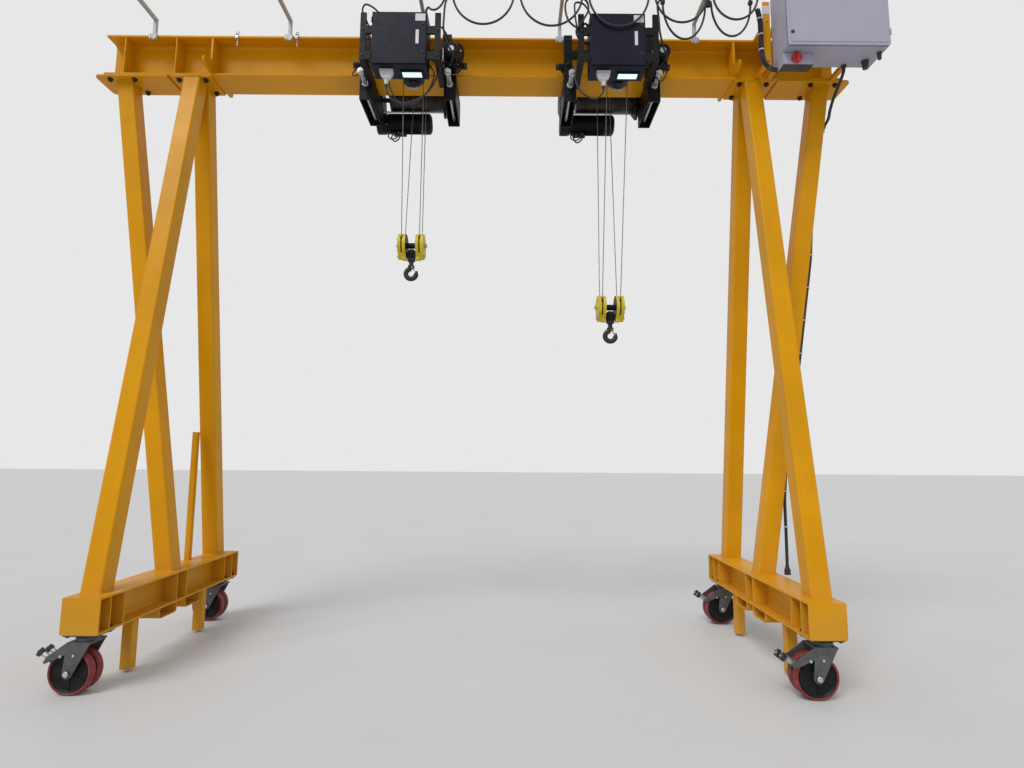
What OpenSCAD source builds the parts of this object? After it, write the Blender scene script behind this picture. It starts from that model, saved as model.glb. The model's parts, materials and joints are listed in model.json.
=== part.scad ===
// Mobile gantry crane with one fixed girder, two side frames on casters and two rope hoists.
// X runs along the girder, Y points away from the front, Z is up. The origin lies on the floor
// under the middle of the side frames, and all sizes are in millimetres.

/* [Girder] */
// Length of the girder
girder_l = 6760; // [6600:20:7200]
// Height of the girder section
girder_h = 390; // [360:10:420]
// Width of the girder flanges
girder_w = 300; // [290:2:310]
// Thickness of the girder web
girder_web = 11; // [9:0.5:14]
// Thickness of the girder flanges
girder_flange = 19; // [16:0.5:22]
// Radius between the girder web and its flanges
girder_root = 27; // [20:1:30]
// Height of the girder underside above the floor
girder_z = 5080; // [4800:20:5400]
// Thickness of the girder stiffeners
stiffener_t = 12; // [8:1:16]
// Distance of the trolley stops from the middle of the girder
stop_x = 2406; // [2380:2:2420]
// Thickness of the trolley stops
stop_t = 20; // [12:1:24]
// Reach of the trolley stops beyond the flange edge
stop_reach = 140; // [100:5:160]

/* [Side frames] */
// Distance of the front and rear legs from the middle of the crane
leg_x = 2570; // [2550:5:2590]
// Distance of the outer leg heads from the middle of the crane
outer_head_x = 3233; // [3200:5:3260]
// Distance of the front and rear leg feet from the girder line
leg_foot_y = 850; // [780:10:860]
// Outer size of the square leg tube
leg_size = 150; // [120:2:150]
// Wall of the leg tube
leg_wall = 6; // [4:0.5:10]
// Outer corner radius of the leg tube
leg_corner = 14; // [11:1:20]
// Thickness of the head plates under the girder
head_plate_t = 15; // [10:1:25]
// Distance of the carriages from the middle of the crane
carriage_x = 2540; // [2530:5:2550]
// Length of each carriage over its end plates
carriage_l = 2100; // [2040:10:2300]
// Height of the carriage section
carriage_h = 245; // [220:5:260]
// Width of the carriage flanges
carriage_w = 260; // [240:5:280]
// Thickness of the carriage web
carriage_web = 8; // [6:0.5:12]
// Thickness of the carriage flanges
carriage_flange = 13; // [10:0.5:18]
// Radius between the carriage web and its flanges
carriage_root = 24; // [15:1:27]
// Thickness of the carriage end plates
end_plate_t = 12; // [8:1:20]
// Size of the square parking feet
foot_size = 80; // [60:5:100]
// Wall of the parking feet
foot_wall = 5; // [3:0.5:8]
// Distance of the parking feet from the girder line
foot_y = 520; // [480:10:560]
// Gap between the parking feet and the floor
foot_gap = 20; // [10:5:60]
// Width of a fork pocket
pocket_w = 250; // [200:5:260]
// Drop of a fork pocket under the carriage
pocket_h = 80; // [60:5:100]
// Plate thickness of a fork pocket
pocket_t = 6; // [4:0.5:8]
// Distance of the fork pockets from the girder line
pocket_y = 190; // [170:5:230]

/* [Casters] */
// Height of a caster from the floor to its carriage
caster_h = 405; // [395:5:440]
// Radius of the caster wheels
wheel_r = 150; // [120:5:150]
// Width of one caster wheel
wheel_w = 62; // [50:1:70]
// Gap between the two wheels of a caster
wheel_gap = 16; // [10:1:30]
// Trail of the wheel axle behind the kingpin
caster_trail = 70; // [50:5:80]
// Radius of the caster axle
axle_r = 14; // [10:1:16]
// Thickness of the fork arms
fork_t = 10; // [8:1:14]
// Distance of the kingpin from the end of the carriage
kingpin_inset = 110; // [105:5:130]

/* [Hoists] */
// Place of the left trolley along the girder
left_hoist_x = -590; // [-630:2:-560]
// Place of the right trolley along the girder
right_hoist_x = 1252; // [1230:2:1280]
// Drop of the left hook block below the girder
left_drop = 1450; // [800:10:2600]
// Drop of the right hook block below the girder
right_drop = 2010; // [800:10:2600]
// Place of the left hook from the middle of its trolley
left_hook_x = 50; // [-20:2:80]
// Place of the right hook from the middle of its trolley
right_hook_x = 5; // [-20:1:80]
// Radius of the trolley wheels
trolley_wheel_r = 55; // [45:1:60]
// Radius of the rope drum over its rope
drum_r = 104; // [90:2:108]
// Radius of the hoist rope
rope_r = 4.5; // [3:0.5:6]
// Radius of the upper sheave at its rope
upper_sheave_r = 92; // [80:1:96]
// Width of a trolley control box
box_w = 465; // [430:5:490]
// Height of a trolley control box
box_h = 479; // [430:1:500]
// Depth of a trolley control box
box_d = 200; // [160:5:215]
// Radius of the hoist motor
motor_r = 100; // [88:2:102]

/* [Power supply] */
// Width of the control cabinet
cabinet_w = 847; // [760:1:900]
// Height of the control cabinet
cabinet_h = 636; // [560:1:700]
// Depth of the control cabinet with its door
cabinet_d = 300; // [250:5:340]
// Wall of the control cabinet
cabinet_wall = 4; // [3:0.5:6]
// Distance of the middle of the cabinet from the middle of the crane
cabinet_x = 3064; // [3050:2:3080]
// Size of the square festoon rails
rail_size = 40; // [30:2:45]
// Wall of the festoon rails
rail_wall = 2.5; // [2:0.5:3]
// Radius of the festoon cables
festoon_r = 9; // [6:0.5:11]
// Radius of the supply cable on the leg
supply_r = 13; // [6:0.5:14]

/* [Hidden] */

// Seat clearance between round or moving pieces
seat = 0.3;
// Radial clearance of a turning wheel on its axle
running = 0.05;
// Roundness of small and large curves
fine = 32;
round_fn = 64;

paint = [0.90, 0.58, 0.03];
steel_grey = [0.42, 0.43, 0.44];
zinc = [0.72, 0.73, 0.74];
black = [0.06, 0.06, 0.08];
tread_red = [0.45, 0.08, 0.07];
cabinet_grey = [0.78, 0.79, 0.82];

// Girder levels
girder_top = girder_z + girder_h;
track_z = girder_z + girder_flange;
girder_end = girder_l / 2;

// Side frame levels
carriage_z = caster_h;
carriage_top = carriage_z + carriage_h;
leg_top = girder_z - head_plate_t;
leg_rise = leg_top - carriage_top;
// The front and the rear leg meet at the head plate with a weld gap between them
weld_gap = 2;
inner_lean_factor = sqrt(1 + pow(leg_foot_y / leg_rise, 2));
leg_head_y = leg_size / 2 * inner_lean_factor + weld_gap;

// Head plates
inner_plate_x = 2585;
inner_plate_l = 370;
outer_plate_from = 2800;
outer_plate_overhang = 90;

// Casters
kingpin_y = carriage_l / 2 - kingpin_inset;
caster_plate_t = 12;
caster_plate_x = 240;
caster_plate_y = 200;
race_h = 14;
race_r = 60;
head_h = 26;
head_r = 75;
crown_t = 12;
crown_top = caster_h - caster_plate_t - race_h - seat - head_h;
crown_z = crown_top - crown_t;
wheel_pack = 2 * wheel_w + wheel_gap;
arm_gap = 8;
arm_y = wheel_pack / 2 + arm_gap;
brake_lift = 30;

// Trolley, measured from its own middle along the girder. Two yokes reach round the lower
// flange: each has a front post, a rear post and a cross channel under the girder.
post_gap = 35;
post_in = girder_w / 2 + post_gap;
post_t = 40;
post_out = post_in + post_t;
post_top = girder_top - 25;
post_low = girder_z - 80;
left_post = [-420, -345];
right_post = [316, 400];
channel_w = 110;
channel_wall = 8;
channel_z = girder_z - 270;
channel_top = girder_z - 35;
left_channel_x = -422;
right_channel_x = 337;
lug_t = 16;
rod_r = 20;
rod_z = girder_z - 129;
rod_front = -436;
rod_back = post_out + 15;
arm_w = 50;
arm_h = 60;
arm_z = girder_z - 150;
left_arm_x = -333;
right_arm_x = 297;
tie_h = 85;
tie_t = 15;
tie_z = girder_z + 135;
wheel_x = [-382, 355];
trolley_axle_r = 14;
trolley_axle_z = track_z + trolley_wheel_r;
buffer_r = 28;
buffer_y = post_in + 10;
buffer_z = track_z + 56;
buffer_left = -490;
buffer_right = 540;

// Control box and the uprights beside it
box_back = 412;
box_z = girder_z - 202;
box_front = -box_back - box_d;
upright_t = 20;
upright_top = box_z + box_h;

// Upper sheave, in front of the flange edge
upper_sheave_x = 62;
upper_sheave_z = girder_z - 60;
upper_sheave_w = 26;
upper_sheave_y = post_out - upper_sheave_w / 2 - 2;
sheave_pin_r = 12;

// Drum and hoist motor, behind the girder
drum_y = 350;
drum_z = girder_z + 75;
drum_left = -254;
drum_right = 297;
drum_rim = 8;
drum_shaft_r = 22;
bearing_t = 20;
gearbox_x = -405;
gearbox_t = 80;
gearbox_bore = 12;
gearbox_drum_r = 105;
gearbox_motor_r = 102;
motor_y = 463;
motor_z = girder_z - 110;
motor_right = 137;
guide_rod = [drum_y - 15, drum_z - drum_r - 30];
guide_rod_r = 8;

// Rope falls and hook block
rope_x = 80;
rope_y = 83;
lead_x = 60;
rope_turn = lead_x / 4;
drum_rope_y = drum_y - drum_r - rope_r - seat;
block_h = 260;
block_r = 105;
block_side_w = 70;
slot_h = 80;
block_head = 55;
block_head_h = 60;
shank_r = 20;

// Cabinet
cabinet_z = girder_z - 60;
cabinet_front = -712;
cabinet_back = cabinet_front + cabinet_d;
cabinet_left = cabinet_x - cabinet_w / 2;
cabinet_right = cabinet_x + cabinet_w / 2;
door_t = 20;

// Festoon
rail_y = [-530, -640];
rail_left = -cabinet_right;
rail_right = 2500;
rail_z = girder_top + 110;
arm_x = [-2950, -1700, -450, 800, 2050];
rail_slot = 16;
carrier_drop = 60;

// Two-dimensional outlines

// Rectangle with round corners, centred
module rounded_rect(w, h, r) {
    union() {
        square([w - 2 * r, h], center = true);
        square([w, h - 2 * r], center = true);
        for (x = [-1, 1], y = [-1, 1])
            translate([x * (w / 2 - r), y * (h / 2 - r)]) circle(r, $fn = fine);
    }
}

// Outline of a rolled I-section, centred
module i_section(h, w, web, flange, root) {
    clear_h = h / 2 - flange;
    difference() {
        square([w, h], center = true);
        for (side = [0, 1]) mirror([side, 0]) {
            translate([web / 2 + root, -clear_h]) square([w, 2 * clear_h]);
            translate([web / 2, -clear_h + root]) square([w, 2 * (clear_h - root)]);
            for (up = [-1, 1])
                translate([web / 2 + root, up * (clear_h - root)]) circle(root, $fn = fine);
        }
    }
}

// Point where the tangent from p touches a circle
function tangent(p, c, r, side) =
    let (d = p - c, a = atan2(d.y, d.x) + side * acos(r / norm(d)))
    c + r * [cos(a), sin(a)];

// Placing

// Stands an outline up in the plane of X and Z and gives it a thickness along Y
module across_y(y, t) {
    translate([0, y + t, 0]) rotate([90, 0, 0]) linear_extrude(t) children();
}

// Stands an outline of Y and Z up and gives it a thickness along X
module across_x(x, t) {
    translate([x, 0, 0]) rotate([90, 0, 90]) linear_extrude(t) children();
}

module bar_x(x0, x1, y0, y1, z0, z1) {
    translate([x0, y0, z0]) cube([x1 - x0, y1 - y0, z1 - z0]);
}

module pin_y(x, y0, y1, z, r) {
    translate([x, y0, z]) rotate([-90, 0, 0]) cylinder(r = r, h = y1 - y0, $fn = round_fn);
}

module pin_x(x0, x1, y, z, r) {
    translate([x0, y, z]) rotate([0, 90, 0]) cylinder(r = r, h = x1 - x0, $fn = round_fn);
}

// Plate of two round ends and the outer tangents between them, across X
module belt_plate(x, t, a, ra, b, rb) {
    d = b - a;
    turn = atan2(d.y, d.x);
    tilt = acos((ra - rb) / norm(d));
    union() {
        across_x(x, t) translate(a) circle(ra, $fn = round_fn);
        across_x(x, t) translate(b) circle(rb, $fn = round_fn);
        across_x(x, t)
            polygon([
                a + ra * [cos(turn + tilt), sin(turn + tilt)],
                b + rb * [cos(turn + tilt), sin(turn + tilt)],
                b + rb * [cos(turn - tilt), sin(turn - tilt)],
                a + ra * [cos(turn - tilt), sin(turn - tilt)]
            ]);
    }
}

// Solid of two round ends and the outer tangents between them, across Y. The ends are given in
// X and Z.
module belt_y(y, t, a, ra, b, rb) {
    d = b - a;
    turn = atan2(d.y, d.x);
    tilt = acos((ra - rb) / norm(d));
    union() {
        across_y(y, t) translate(a) circle(ra, $fn = round_fn);
        across_y(y, t) translate(b) circle(rb, $fn = round_fn);
        across_y(y, t)
            polygon([
                a + ra * [cos(turn + tilt), sin(turn + tilt)],
                b + rb * [cos(turn + tilt), sin(turn + tilt)],
                b + rb * [cos(turn - tilt), sin(turn - tilt)],
                a + ra * [cos(turn - tilt), sin(turn - tilt)]
            ]);
    }
}

// Sweeps a round tube along a route of points, with its ends closed
function unit(v) = v / norm(v);
function route_way(p, i) =
    unit(p[min(i + 1, len(p) - 1)] - p[max(i - 1, 0)]);
function ring(p, way, r, n) =
    let (side = abs(way.y) < 0.9 ? unit(cross(way, [0, 1, 0])) : unit(cross(way, [1, 0, 0])),
         up = cross(side, way))
    [for (k = [0:n - 1]) p + r * (cos(360 * k / n) * side + sin(360 * k / n) * up)];
module swept_tube(route, r, n = 8) {
    rings = [for (i = [0:len(route) - 1]) each ring(route[i], route_way(route, i), r, n)];
    last = (len(route) - 1) * n;
    polyhedron(
        points = rings,
        faces = concat(
            [[for (k = [n - 1:-1:0]) k]],
            [for (i = [0:len(route) - 2], k = [0:n - 1])
                [i * n + k, i * n + (k + 1) % n, (i + 1) * n + (k + 1) % n, (i + 1) * n + k]],
            [[for (k = [0:n - 1]) last + k]]
        ),
        convexity = 10
    );
}

// Girder and head

module girder() {
    color(paint)
        across_x(-girder_end, girder_l)
            translate([0, girder_z + girder_h / 2])
                i_section(girder_h, girder_w, girder_web, girder_flange, girder_root);
}

// Plate between the flanges, from the web to the flange edge, with its web corners cut off
module stiffener_outline(reach, snip) {
    clear_h = girder_h - 2 * girder_flange;
    polygon([
        [girder_web / 2, snip], [girder_web / 2 + snip, 0], [reach, 0],
        [reach, clear_h], [girder_web / 2 + snip, clear_h], [girder_web / 2, clear_h - snip]
    ]);
}

module girder_stiffeners() {
    inset = 4;
    snip = girder_root + 4;
    color(paint)
        for (x = [3206, 2736], end = [-1, 1], side = [0, 1])
            mirror([0, side, 0])
                across_x(end * x - stiffener_t / 2, stiffener_t)
                    translate([0, track_z])
                        stiffener_outline(girder_w / 2 - inset, snip);
}

// Stop plate between the flanges, with a nose that stands out beyond the flange edge
module trolley_stops() {
    clear_h = girder_h - 2 * girder_flange;
    snip = girder_root + 4;
    nose_r = 40;
    nose_y = girder_w / 2 + stop_reach - nose_r;
    nose_z = buffer_z - track_z;
    edge = girder_w / 2 - 4;
    color(paint)
        for (end = [-1, 1], side = [0, 1])
            mirror([0, side, 0])
                across_x(end * stop_x - stop_t / 2, stop_t)
                    translate([0, track_z])
                        union() {
                            stiffener_outline(edge, snip);
                            translate([nose_y, nose_z]) circle(nose_r, $fn = round_fn);
                            polygon([
                                [edge - 1, 10], [nose_y, nose_z - nose_r],
                                [nose_y, nose_z + nose_r], [edge - 1, nose_z + 2 * nose_r]
                            ]);
                        }
}

module head_plates() {
    corner = 45;
    outer_l = girder_end + outer_plate_overhang - outer_plate_from;
    color(paint)
        for (end = [0, 1]) mirror([end, 0, 0]) {
            translate([inner_plate_x, 0, leg_top])
                linear_extrude(head_plate_t) square([inner_plate_l, girder_w], center = true);
            translate([outer_plate_from, 0, leg_top])
                linear_extrude(head_plate_t)
                    union() {
                        translate([0, -girder_w / 2]) square([outer_l - corner, girder_w]);
                        translate([0, -girder_w / 2 + corner])
                            square([outer_l, girder_w - 2 * corner]);
                        for (y = [-1, 1])
                            translate([outer_l - corner, y * (girder_w / 2 - corner)])
                                circle(corner, $fn = round_fn);
                    }
        }
}

// Legs

// Square tube from foot to head, cut level at both ends
module leaning_tube(foot, head) {
    run = head - foot;
    spare = leg_size;
    far = 2 * (abs(run.x) + abs(run.y) + leg_size);
    intersection() {
        translate(foot)
            rotate([-atan2(run.y, run.z), atan2(run.x, run.z), 0])
                translate([0, 0, -spare])
                    linear_extrude(norm(run) + 2 * spare)
                        difference() {
                            rounded_rect(leg_size, leg_size, leg_corner);
                            rounded_rect(leg_size - 2 * leg_wall, leg_size - 2 * leg_wall,
                                leg_corner - leg_wall);
                        }
        translate([foot.x - far, foot.y - far, foot.z]) cube([2 * far, 2 * far, run.z]);
    }
}

module spread_leg(end, side) {
    color(paint)
        leaning_tube([end * leg_x, side * leg_foot_y, carriage_top],
            [end * leg_x, side * leg_head_y, leg_top]);
}

module outer_leg(end) {
    color(paint)
        leaning_tube([end * carriage_x, 0, carriage_top], [end * outer_head_x, 0, leg_top]);
}

module left_front_leg() { spread_leg(-1, -1); }
module left_rear_leg() { spread_leg(-1, 1); }
module left_outer_leg() { outer_leg(-1); }
module right_front_leg() { spread_leg(1, -1); }
module right_rear_leg() { spread_leg(1, 1); }
module right_outer_leg() { outer_leg(1); }

// Carriages

module carriage(end) {
    clear_h = carriage_h - 2 * carriage_flange;
    beam_l = carriage_l - 2 * end_plate_t;
    rib_t = 10;
    snip = carriage_root + 3;
    wall_y = leg_size / 2 * inner_lean_factor;
    color(paint)
        translate([end * carriage_x, 0, carriage_z])
            union() {
                translate([0, 0, carriage_h / 2]) rotate([90, 0, 0])
                    linear_extrude(beam_l, center = true)
                        i_section(carriage_h, carriage_w, carriage_web, carriage_flange,
                            carriage_root);
                for (way = [0, 1]) mirror([0, way, 0])
                    across_y(beam_l / 2, end_plate_t)
                        translate([0, carriage_h / 2])
                            rounded_rect(carriage_w, carriage_h, 8);
                for (y = [leg_foot_y - wall_y, leg_foot_y + wall_y, leg_size / 2],
                        way = [0, 1], side = [0, 1])
                    mirror([0, way, 0]) mirror([side, 0, 0])
                        across_y(y - rib_t / 2, rib_t)
                            translate([0, carriage_flange])
                                polygon([
                                    [carriage_web / 2 - 1, snip],
                                    [carriage_web / 2 + snip, -1],
                                    [carriage_w / 2 - 3, -1],
                                    [carriage_w / 2 - 3, clear_h + 1],
                                    [carriage_web / 2 + snip, clear_h + 1],
                                    [carriage_web / 2 - 1, clear_h - snip]
                                ]);
            }
}

module left_carriage() { carriage(-1); }
module right_carriage() { carriage(1); }

module parking_feet() {
    base_t = 10;
    color(paint)
        for (end = [-1, 1], side = [-1, 1])
            translate([end * (carriage_x - 30), side * foot_y, foot_gap])
                union() {
                    linear_extrude(carriage_z - foot_gap)
                        difference() {
                            rounded_rect(foot_size, foot_size, foot_wall + 3);
                            rounded_rect(foot_size - 2 * foot_wall, foot_size - 2 * foot_wall, 3);
                        }
                    linear_extrude(base_t) rounded_rect(foot_size, foot_size, foot_wall + 3);
                }
}

// Bent plate under the carriage, open at both ends for a fork
module fork_pockets() {
    bend = 25;
    color(paint)
        for (end = [-1, 1], side = [-1, 1])
            across_x(end * carriage_x - carriage_w / 2, carriage_w)
                translate([side * pocket_y, carriage_z])
                    difference() {
                        translate([0, -pocket_h / 2])
                            union() {
                                rounded_rect(pocket_w, pocket_h, bend);
                                translate([-pocket_w / 2, 0]) square([pocket_w, pocket_h / 2]);
                            }
                        translate([0, -(pocket_h - pocket_t) / 2])
                            union() {
                                rounded_rect(pocket_w - 2 * pocket_t, pocket_h - pocket_t,
                                    bend - pocket_t);
                                translate([-pocket_w / 2 + pocket_t, 0])
                                    square([pocket_w - 2 * pocket_t, pocket_h]);
                            }
                    }
}

// Slim square post that stands on the left carriage and keeps the lead off the floor
module cable_post() {
    post_size = 50;
    post_h = 1190;
    post_y = 500;
    color(paint)
        translate([-carriage_x - carriage_w / 2 + post_size / 2 + 5, post_y, carriage_top])
            linear_extrude(post_h)
                difference() {
                    rounded_rect(post_size, post_size, 6);
                    rounded_rect(post_size - 6, post_size - 6, 3);
                }
}

// Casters, drawn about their kingpin with the wheels trailing towards -X

module caster_at(end, side) {
    translate([end * carriage_x, side * kingpin_y, 0]) children();
}

module caster_plates() {
    color(steel_grey)
        for (end = [-1, 1], side = [-1, 1])
            caster_at(end, side)
                union() {
                    translate([0, 0, caster_h - caster_plate_t])
                        linear_extrude(caster_plate_t)
                            rounded_rect(caster_plate_x, caster_plate_y, 12);
                    translate([0, 0, caster_h - caster_plate_t - race_h])
                        cylinder(r = race_r, h = race_h + 1, $fn = round_fn);
                }
}

// Fork arm with a round foot at the axle and a horn that carries the brake
module fork_arm(y) {
    foot = [-caster_trail, wheel_r];
    foot_r = axle_r + 20;
    heel = [-head_r - 12, crown_top];
    toe = [head_r - 4, crown_top];
    horn_way = [-cos(brake_lift), sin(brake_lift)];
    horn = foot + (wheel_r + 24) * horn_way;
    across = [horn_way.y, -horn_way.x];
    union() {
        across_y(y, fork_t) translate(foot) circle(foot_r, $fn = round_fn);
        across_y(y, fork_t)
            polygon([heel, toe, tangent(toe, foot, foot_r, -1), tangent(heel, foot, foot_r, 1)]);
        across_y(y, fork_t)
            polygon([
                heel, horn + 22 * across + 8 * horn_way, horn - 22 * across + 8 * horn_way,
                horn - 22 * across - 8 * horn_way, [-head_r, crown_z - 60], [0, crown_top - 1]
            ]);
    }
}

// Star grip with round lobes
module star_grip(r, h, lobes) {
    union() {
        cylinder(r = r * 0.72, h = h, $fn = fine);
        for (k = [0:lobes - 1])
            rotate([0, 0, k * 360 / lobes])
                translate([r * 0.72, 0, 0]) cylinder(r = r * 0.28, h = h, $fn = 16);
    }
}

module caster_fork() {
    brake_turn = 90 - brake_lift;
    color(steel_grey)
        union() {
            translate([0, 0, crown_top]) cylinder(r = head_r, h = head_h, $fn = round_fn);
            translate([-head_r - 12, -arm_y - fork_t, crown_z])
                cube([2 * head_r + 8, 2 * (arm_y + fork_t), crown_t + 1]);
            for (side = [0, 1]) mirror([0, side, 0]) fork_arm(arm_y);
            pin_y(-caster_trail, -arm_y - fork_t - 14, arm_y + fork_t + 14, wheel_r, axle_r);
            for (side = [-1, 1])
                pin_y(-caster_trail, side * (arm_y + fork_t + 7) - 7,
                    side * (arm_y + fork_t + 7) + 7, wheel_r, axle_r + 8);
            translate([-caster_trail, 0, wheel_r]) rotate([0, -brake_turn, 0]) {
                translate([-22, -arm_y - 1, wheel_r + 16]) cube([44, 2 * arm_y + 2, 16]);
                for (side = [-1, 1]) translate([0, side * (wheel_w + wheel_gap) / 2, 0]) {
                    translate([0, 0, wheel_r + 6]) cylinder(r = 22, h = 6, $fn = fine);
                    translate([0, 0, wheel_r + 10]) cylinder(r = 9, h = 90, $fn = fine);
                    translate([0, 0, wheel_r + 30]) cylinder(r = 17, h = 48, $fn = fine);
                    translate([0, 0, wheel_r + 92]) star_grip(30, 24, 5);
                }
            }
        }
}

// Two polyurethane wheels with dished hubs on one axle
module caster_wheels() {
    tread = 18;
    dish = 16;
    hub_r = axle_r + 20;
    color(tread_red)
        for (side = [-1, 1])
            translate([-caster_trail, side * (wheel_w + wheel_gap) / 2, wheel_r])
                rotate([90, 0, 0])
                    rotate_extrude($fn = round_fn)
                        polygon([
                            [axle_r + running, -wheel_w / 2], [hub_r, -wheel_w / 2],
                            [hub_r + 6, -wheel_w / 2 + dish],
                            [wheel_r - tread - 14, -wheel_w / 2 + dish],
                            [wheel_r - tread, -wheel_w / 2 + 2], [wheel_r - 8, -wheel_w / 2],
                            [wheel_r, -wheel_w / 2 + 8], [wheel_r, wheel_w / 2 - 8],
                            [wheel_r - 8, wheel_w / 2], [wheel_r - tread, wheel_w / 2 - 2],
                            [wheel_r - tread - 14, wheel_w / 2 - dish], [hub_r + 6, wheel_w / 2 - dish],
                            [hub_r, wheel_w / 2], [axle_r + running, wheel_w / 2]
                        ]);
}

module front_left_fork() { caster_at(-1, -1) caster_fork(); }
module front_left_wheels() { caster_at(-1, -1) caster_wheels(); }
module front_right_fork() { caster_at(1, -1) caster_fork(); }
module front_right_wheels() { caster_at(1, -1) caster_wheels(); }
module rear_left_fork() { caster_at(-1, 1) caster_fork(); }
module rear_left_wheels() { caster_at(-1, 1) caster_wheels(); }
module rear_right_fork() { caster_at(1, 1) caster_fork(); }
module rear_right_wheels() { caster_at(1, 1) caster_wheels(); }

// Trolleys, drawn about their own middle along the girder

// Channel under the girder, open below, with a lug at each end and a tie rod through the lugs
module cross_channel(x) {
    union() {
        difference() {
            bar_x(x, x + channel_w, -post_out, post_out, channel_z, channel_top);
            bar_x(x + channel_wall, x + channel_w - channel_wall, lug_t - post_out,
                post_out - lug_t, channel_z - 1, channel_top - channel_wall);
        }
        pin_y(x + channel_w / 2, rod_front, rod_back, rod_z, rod_r);
    }
}

// Post beside the flange with a wheel axle
module trolley_post(span, axle_x, side) {
    y0 = side > 0 ? post_in : -post_out;
    axle_in = girder_w / 2 - 42;
    union() {
        bar_x(span[0], span[1], y0, y0 + post_t, post_low, post_top);
        pin_y(axle_x, side > 0 ? axle_in : -post_in - 1, side > 0 ? post_in + 1 : -axle_in,
            trolley_axle_z, trolley_axle_r);
    }
}

// Arm under the flange and upright beside the control box, with two links to the box
module box_upright(arm_x, link_from, link_to) {
    front = box_front + 7;
    link_h = 70;
    union() {
        bar_x(arm_x, arm_x + arm_w, front, lug_t - post_out, arm_z, arm_z + arm_h);
        bar_x(arm_x, arm_x + arm_w, front, front + upright_t, arm_z, upright_top);
        for (z = [arm_z + 5, box_z + box_h - 190])
            bar_x(link_from, link_to, front, front + upright_t, z, z + link_h);
    }
}

module trolley_frame() {
    bearing_x = drum_right + seat;
    bearing_r = 110;
    foot = [post_out - 50, channel_z + 120];
    foot_r = 60;
    box_half = box_w / 2 + seat;
    sheave_front = -upper_sheave_y - upper_sheave_w / 2;
    color(black)
        union() {
            for (side = [-1, 1]) {
                trolley_post(left_post, wheel_x[0], side);
                trolley_post(right_post, wheel_x[1], side);
                pin_x(buffer_left, left_post[0] + 1, side * buffer_y, buffer_z, buffer_r);
                pin_x(right_post[1] - 1, buffer_right, side * buffer_y, buffer_z, buffer_r);
                y0 = side > 0 ? post_out - tie_t : -post_out;
                bar_x(left_post[0], right_post[1], y0, y0 + tie_t, tie_z, tie_z + tie_h);
            }
            cross_channel(left_channel_x);
            cross_channel(right_channel_x);
            box_upright(left_arm_x, left_arm_x + arm_w - 1, -box_half);
            box_upright(right_arm_x, box_half, right_arm_x + 1);
            for (x = [-150, 150])
                bar_x(x - 20, x + 20, -box_back + seat, -post_out + 1, tie_z, tie_z + tie_h);
            bar_x(upper_sheave_x - 42, upper_sheave_x + 42, sheave_front - 16, sheave_front - 1,
                upper_sheave_z - 40, tie_z + tie_h / 2);
            pin_y(upper_sheave_x, sheave_front - 15, -upper_sheave_y + upper_sheave_w / 2 + 2,
                upper_sheave_z, sheave_pin_r);
            difference() {
                belt_plate(bearing_x, bearing_t, [drum_y, drum_z], bearing_r, foot, foot_r);
                pin_x(drum_right, drum_right + 2 * bearing_t, drum_y, drum_z,
                    drum_shaft_r + seat);
            }
            belt_plate(gearbox_x - seat - bearing_t, bearing_t, [drum_y, drum_z], bearing_r, foot,
                foot_r);
            pin_x(gearbox_x + gearbox_t + seat, bearing_x + 1, guide_rod.x, guide_rod.y,
                guide_rod_r);
        }
}

module trolley_wheels() {
    tread_w = 40;
    rim = 10;
    color(steel_grey)
        for (x = wheel_x, side = [0, 1])
            mirror([0, side, 0])
                translate([x, 0, trolley_axle_z])
                    rotate([-90, 0, 0])
                        rotate_extrude($fn = round_fn)
                            polygon([
                                [trolley_axle_r + running, girder_w / 2 - tread_w],
                                [trolley_wheel_r - seat, girder_w / 2 - tread_w],
                                [trolley_wheel_r - seat, girder_w / 2 + 2],
                                [trolley_wheel_r + rim, girder_w / 2 + 3],
                                [trolley_wheel_r + rim, girder_w / 2 + 3 + rim],
                                [trolley_axle_r + running, girder_w / 2 + 3 + rim]
                            ]);
}

// Grooved sheave on its pin, with a dished face
module upper_sheave() {
    half = upper_sheave_w / 2;
    groove = upper_sheave_r - rope_r - seat;
    rim = groove + 11;
    color(steel_grey)
        translate([upper_sheave_x, -upper_sheave_y, upper_sheave_z])
            rotate([-90, 0, 0])
                rotate_extrude($fn = round_fn)
                    polygon([
                        [sheave_pin_r + running, -half], [32, -half], [38, -half + 6],
                        [groove - 16, -half + 6], [groove - 8, -half], [rim, -half],
                        [rim, -half + 3], [groove, -rope_r], [groove, rope_r],
                        [rim, half - 3], [rim, half], [groove - 8, half],
                        [groove - 16, half - 6], [38, half - 6], [32, half],
                        [sheave_pin_r + running, half]
                    ]);
}

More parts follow.
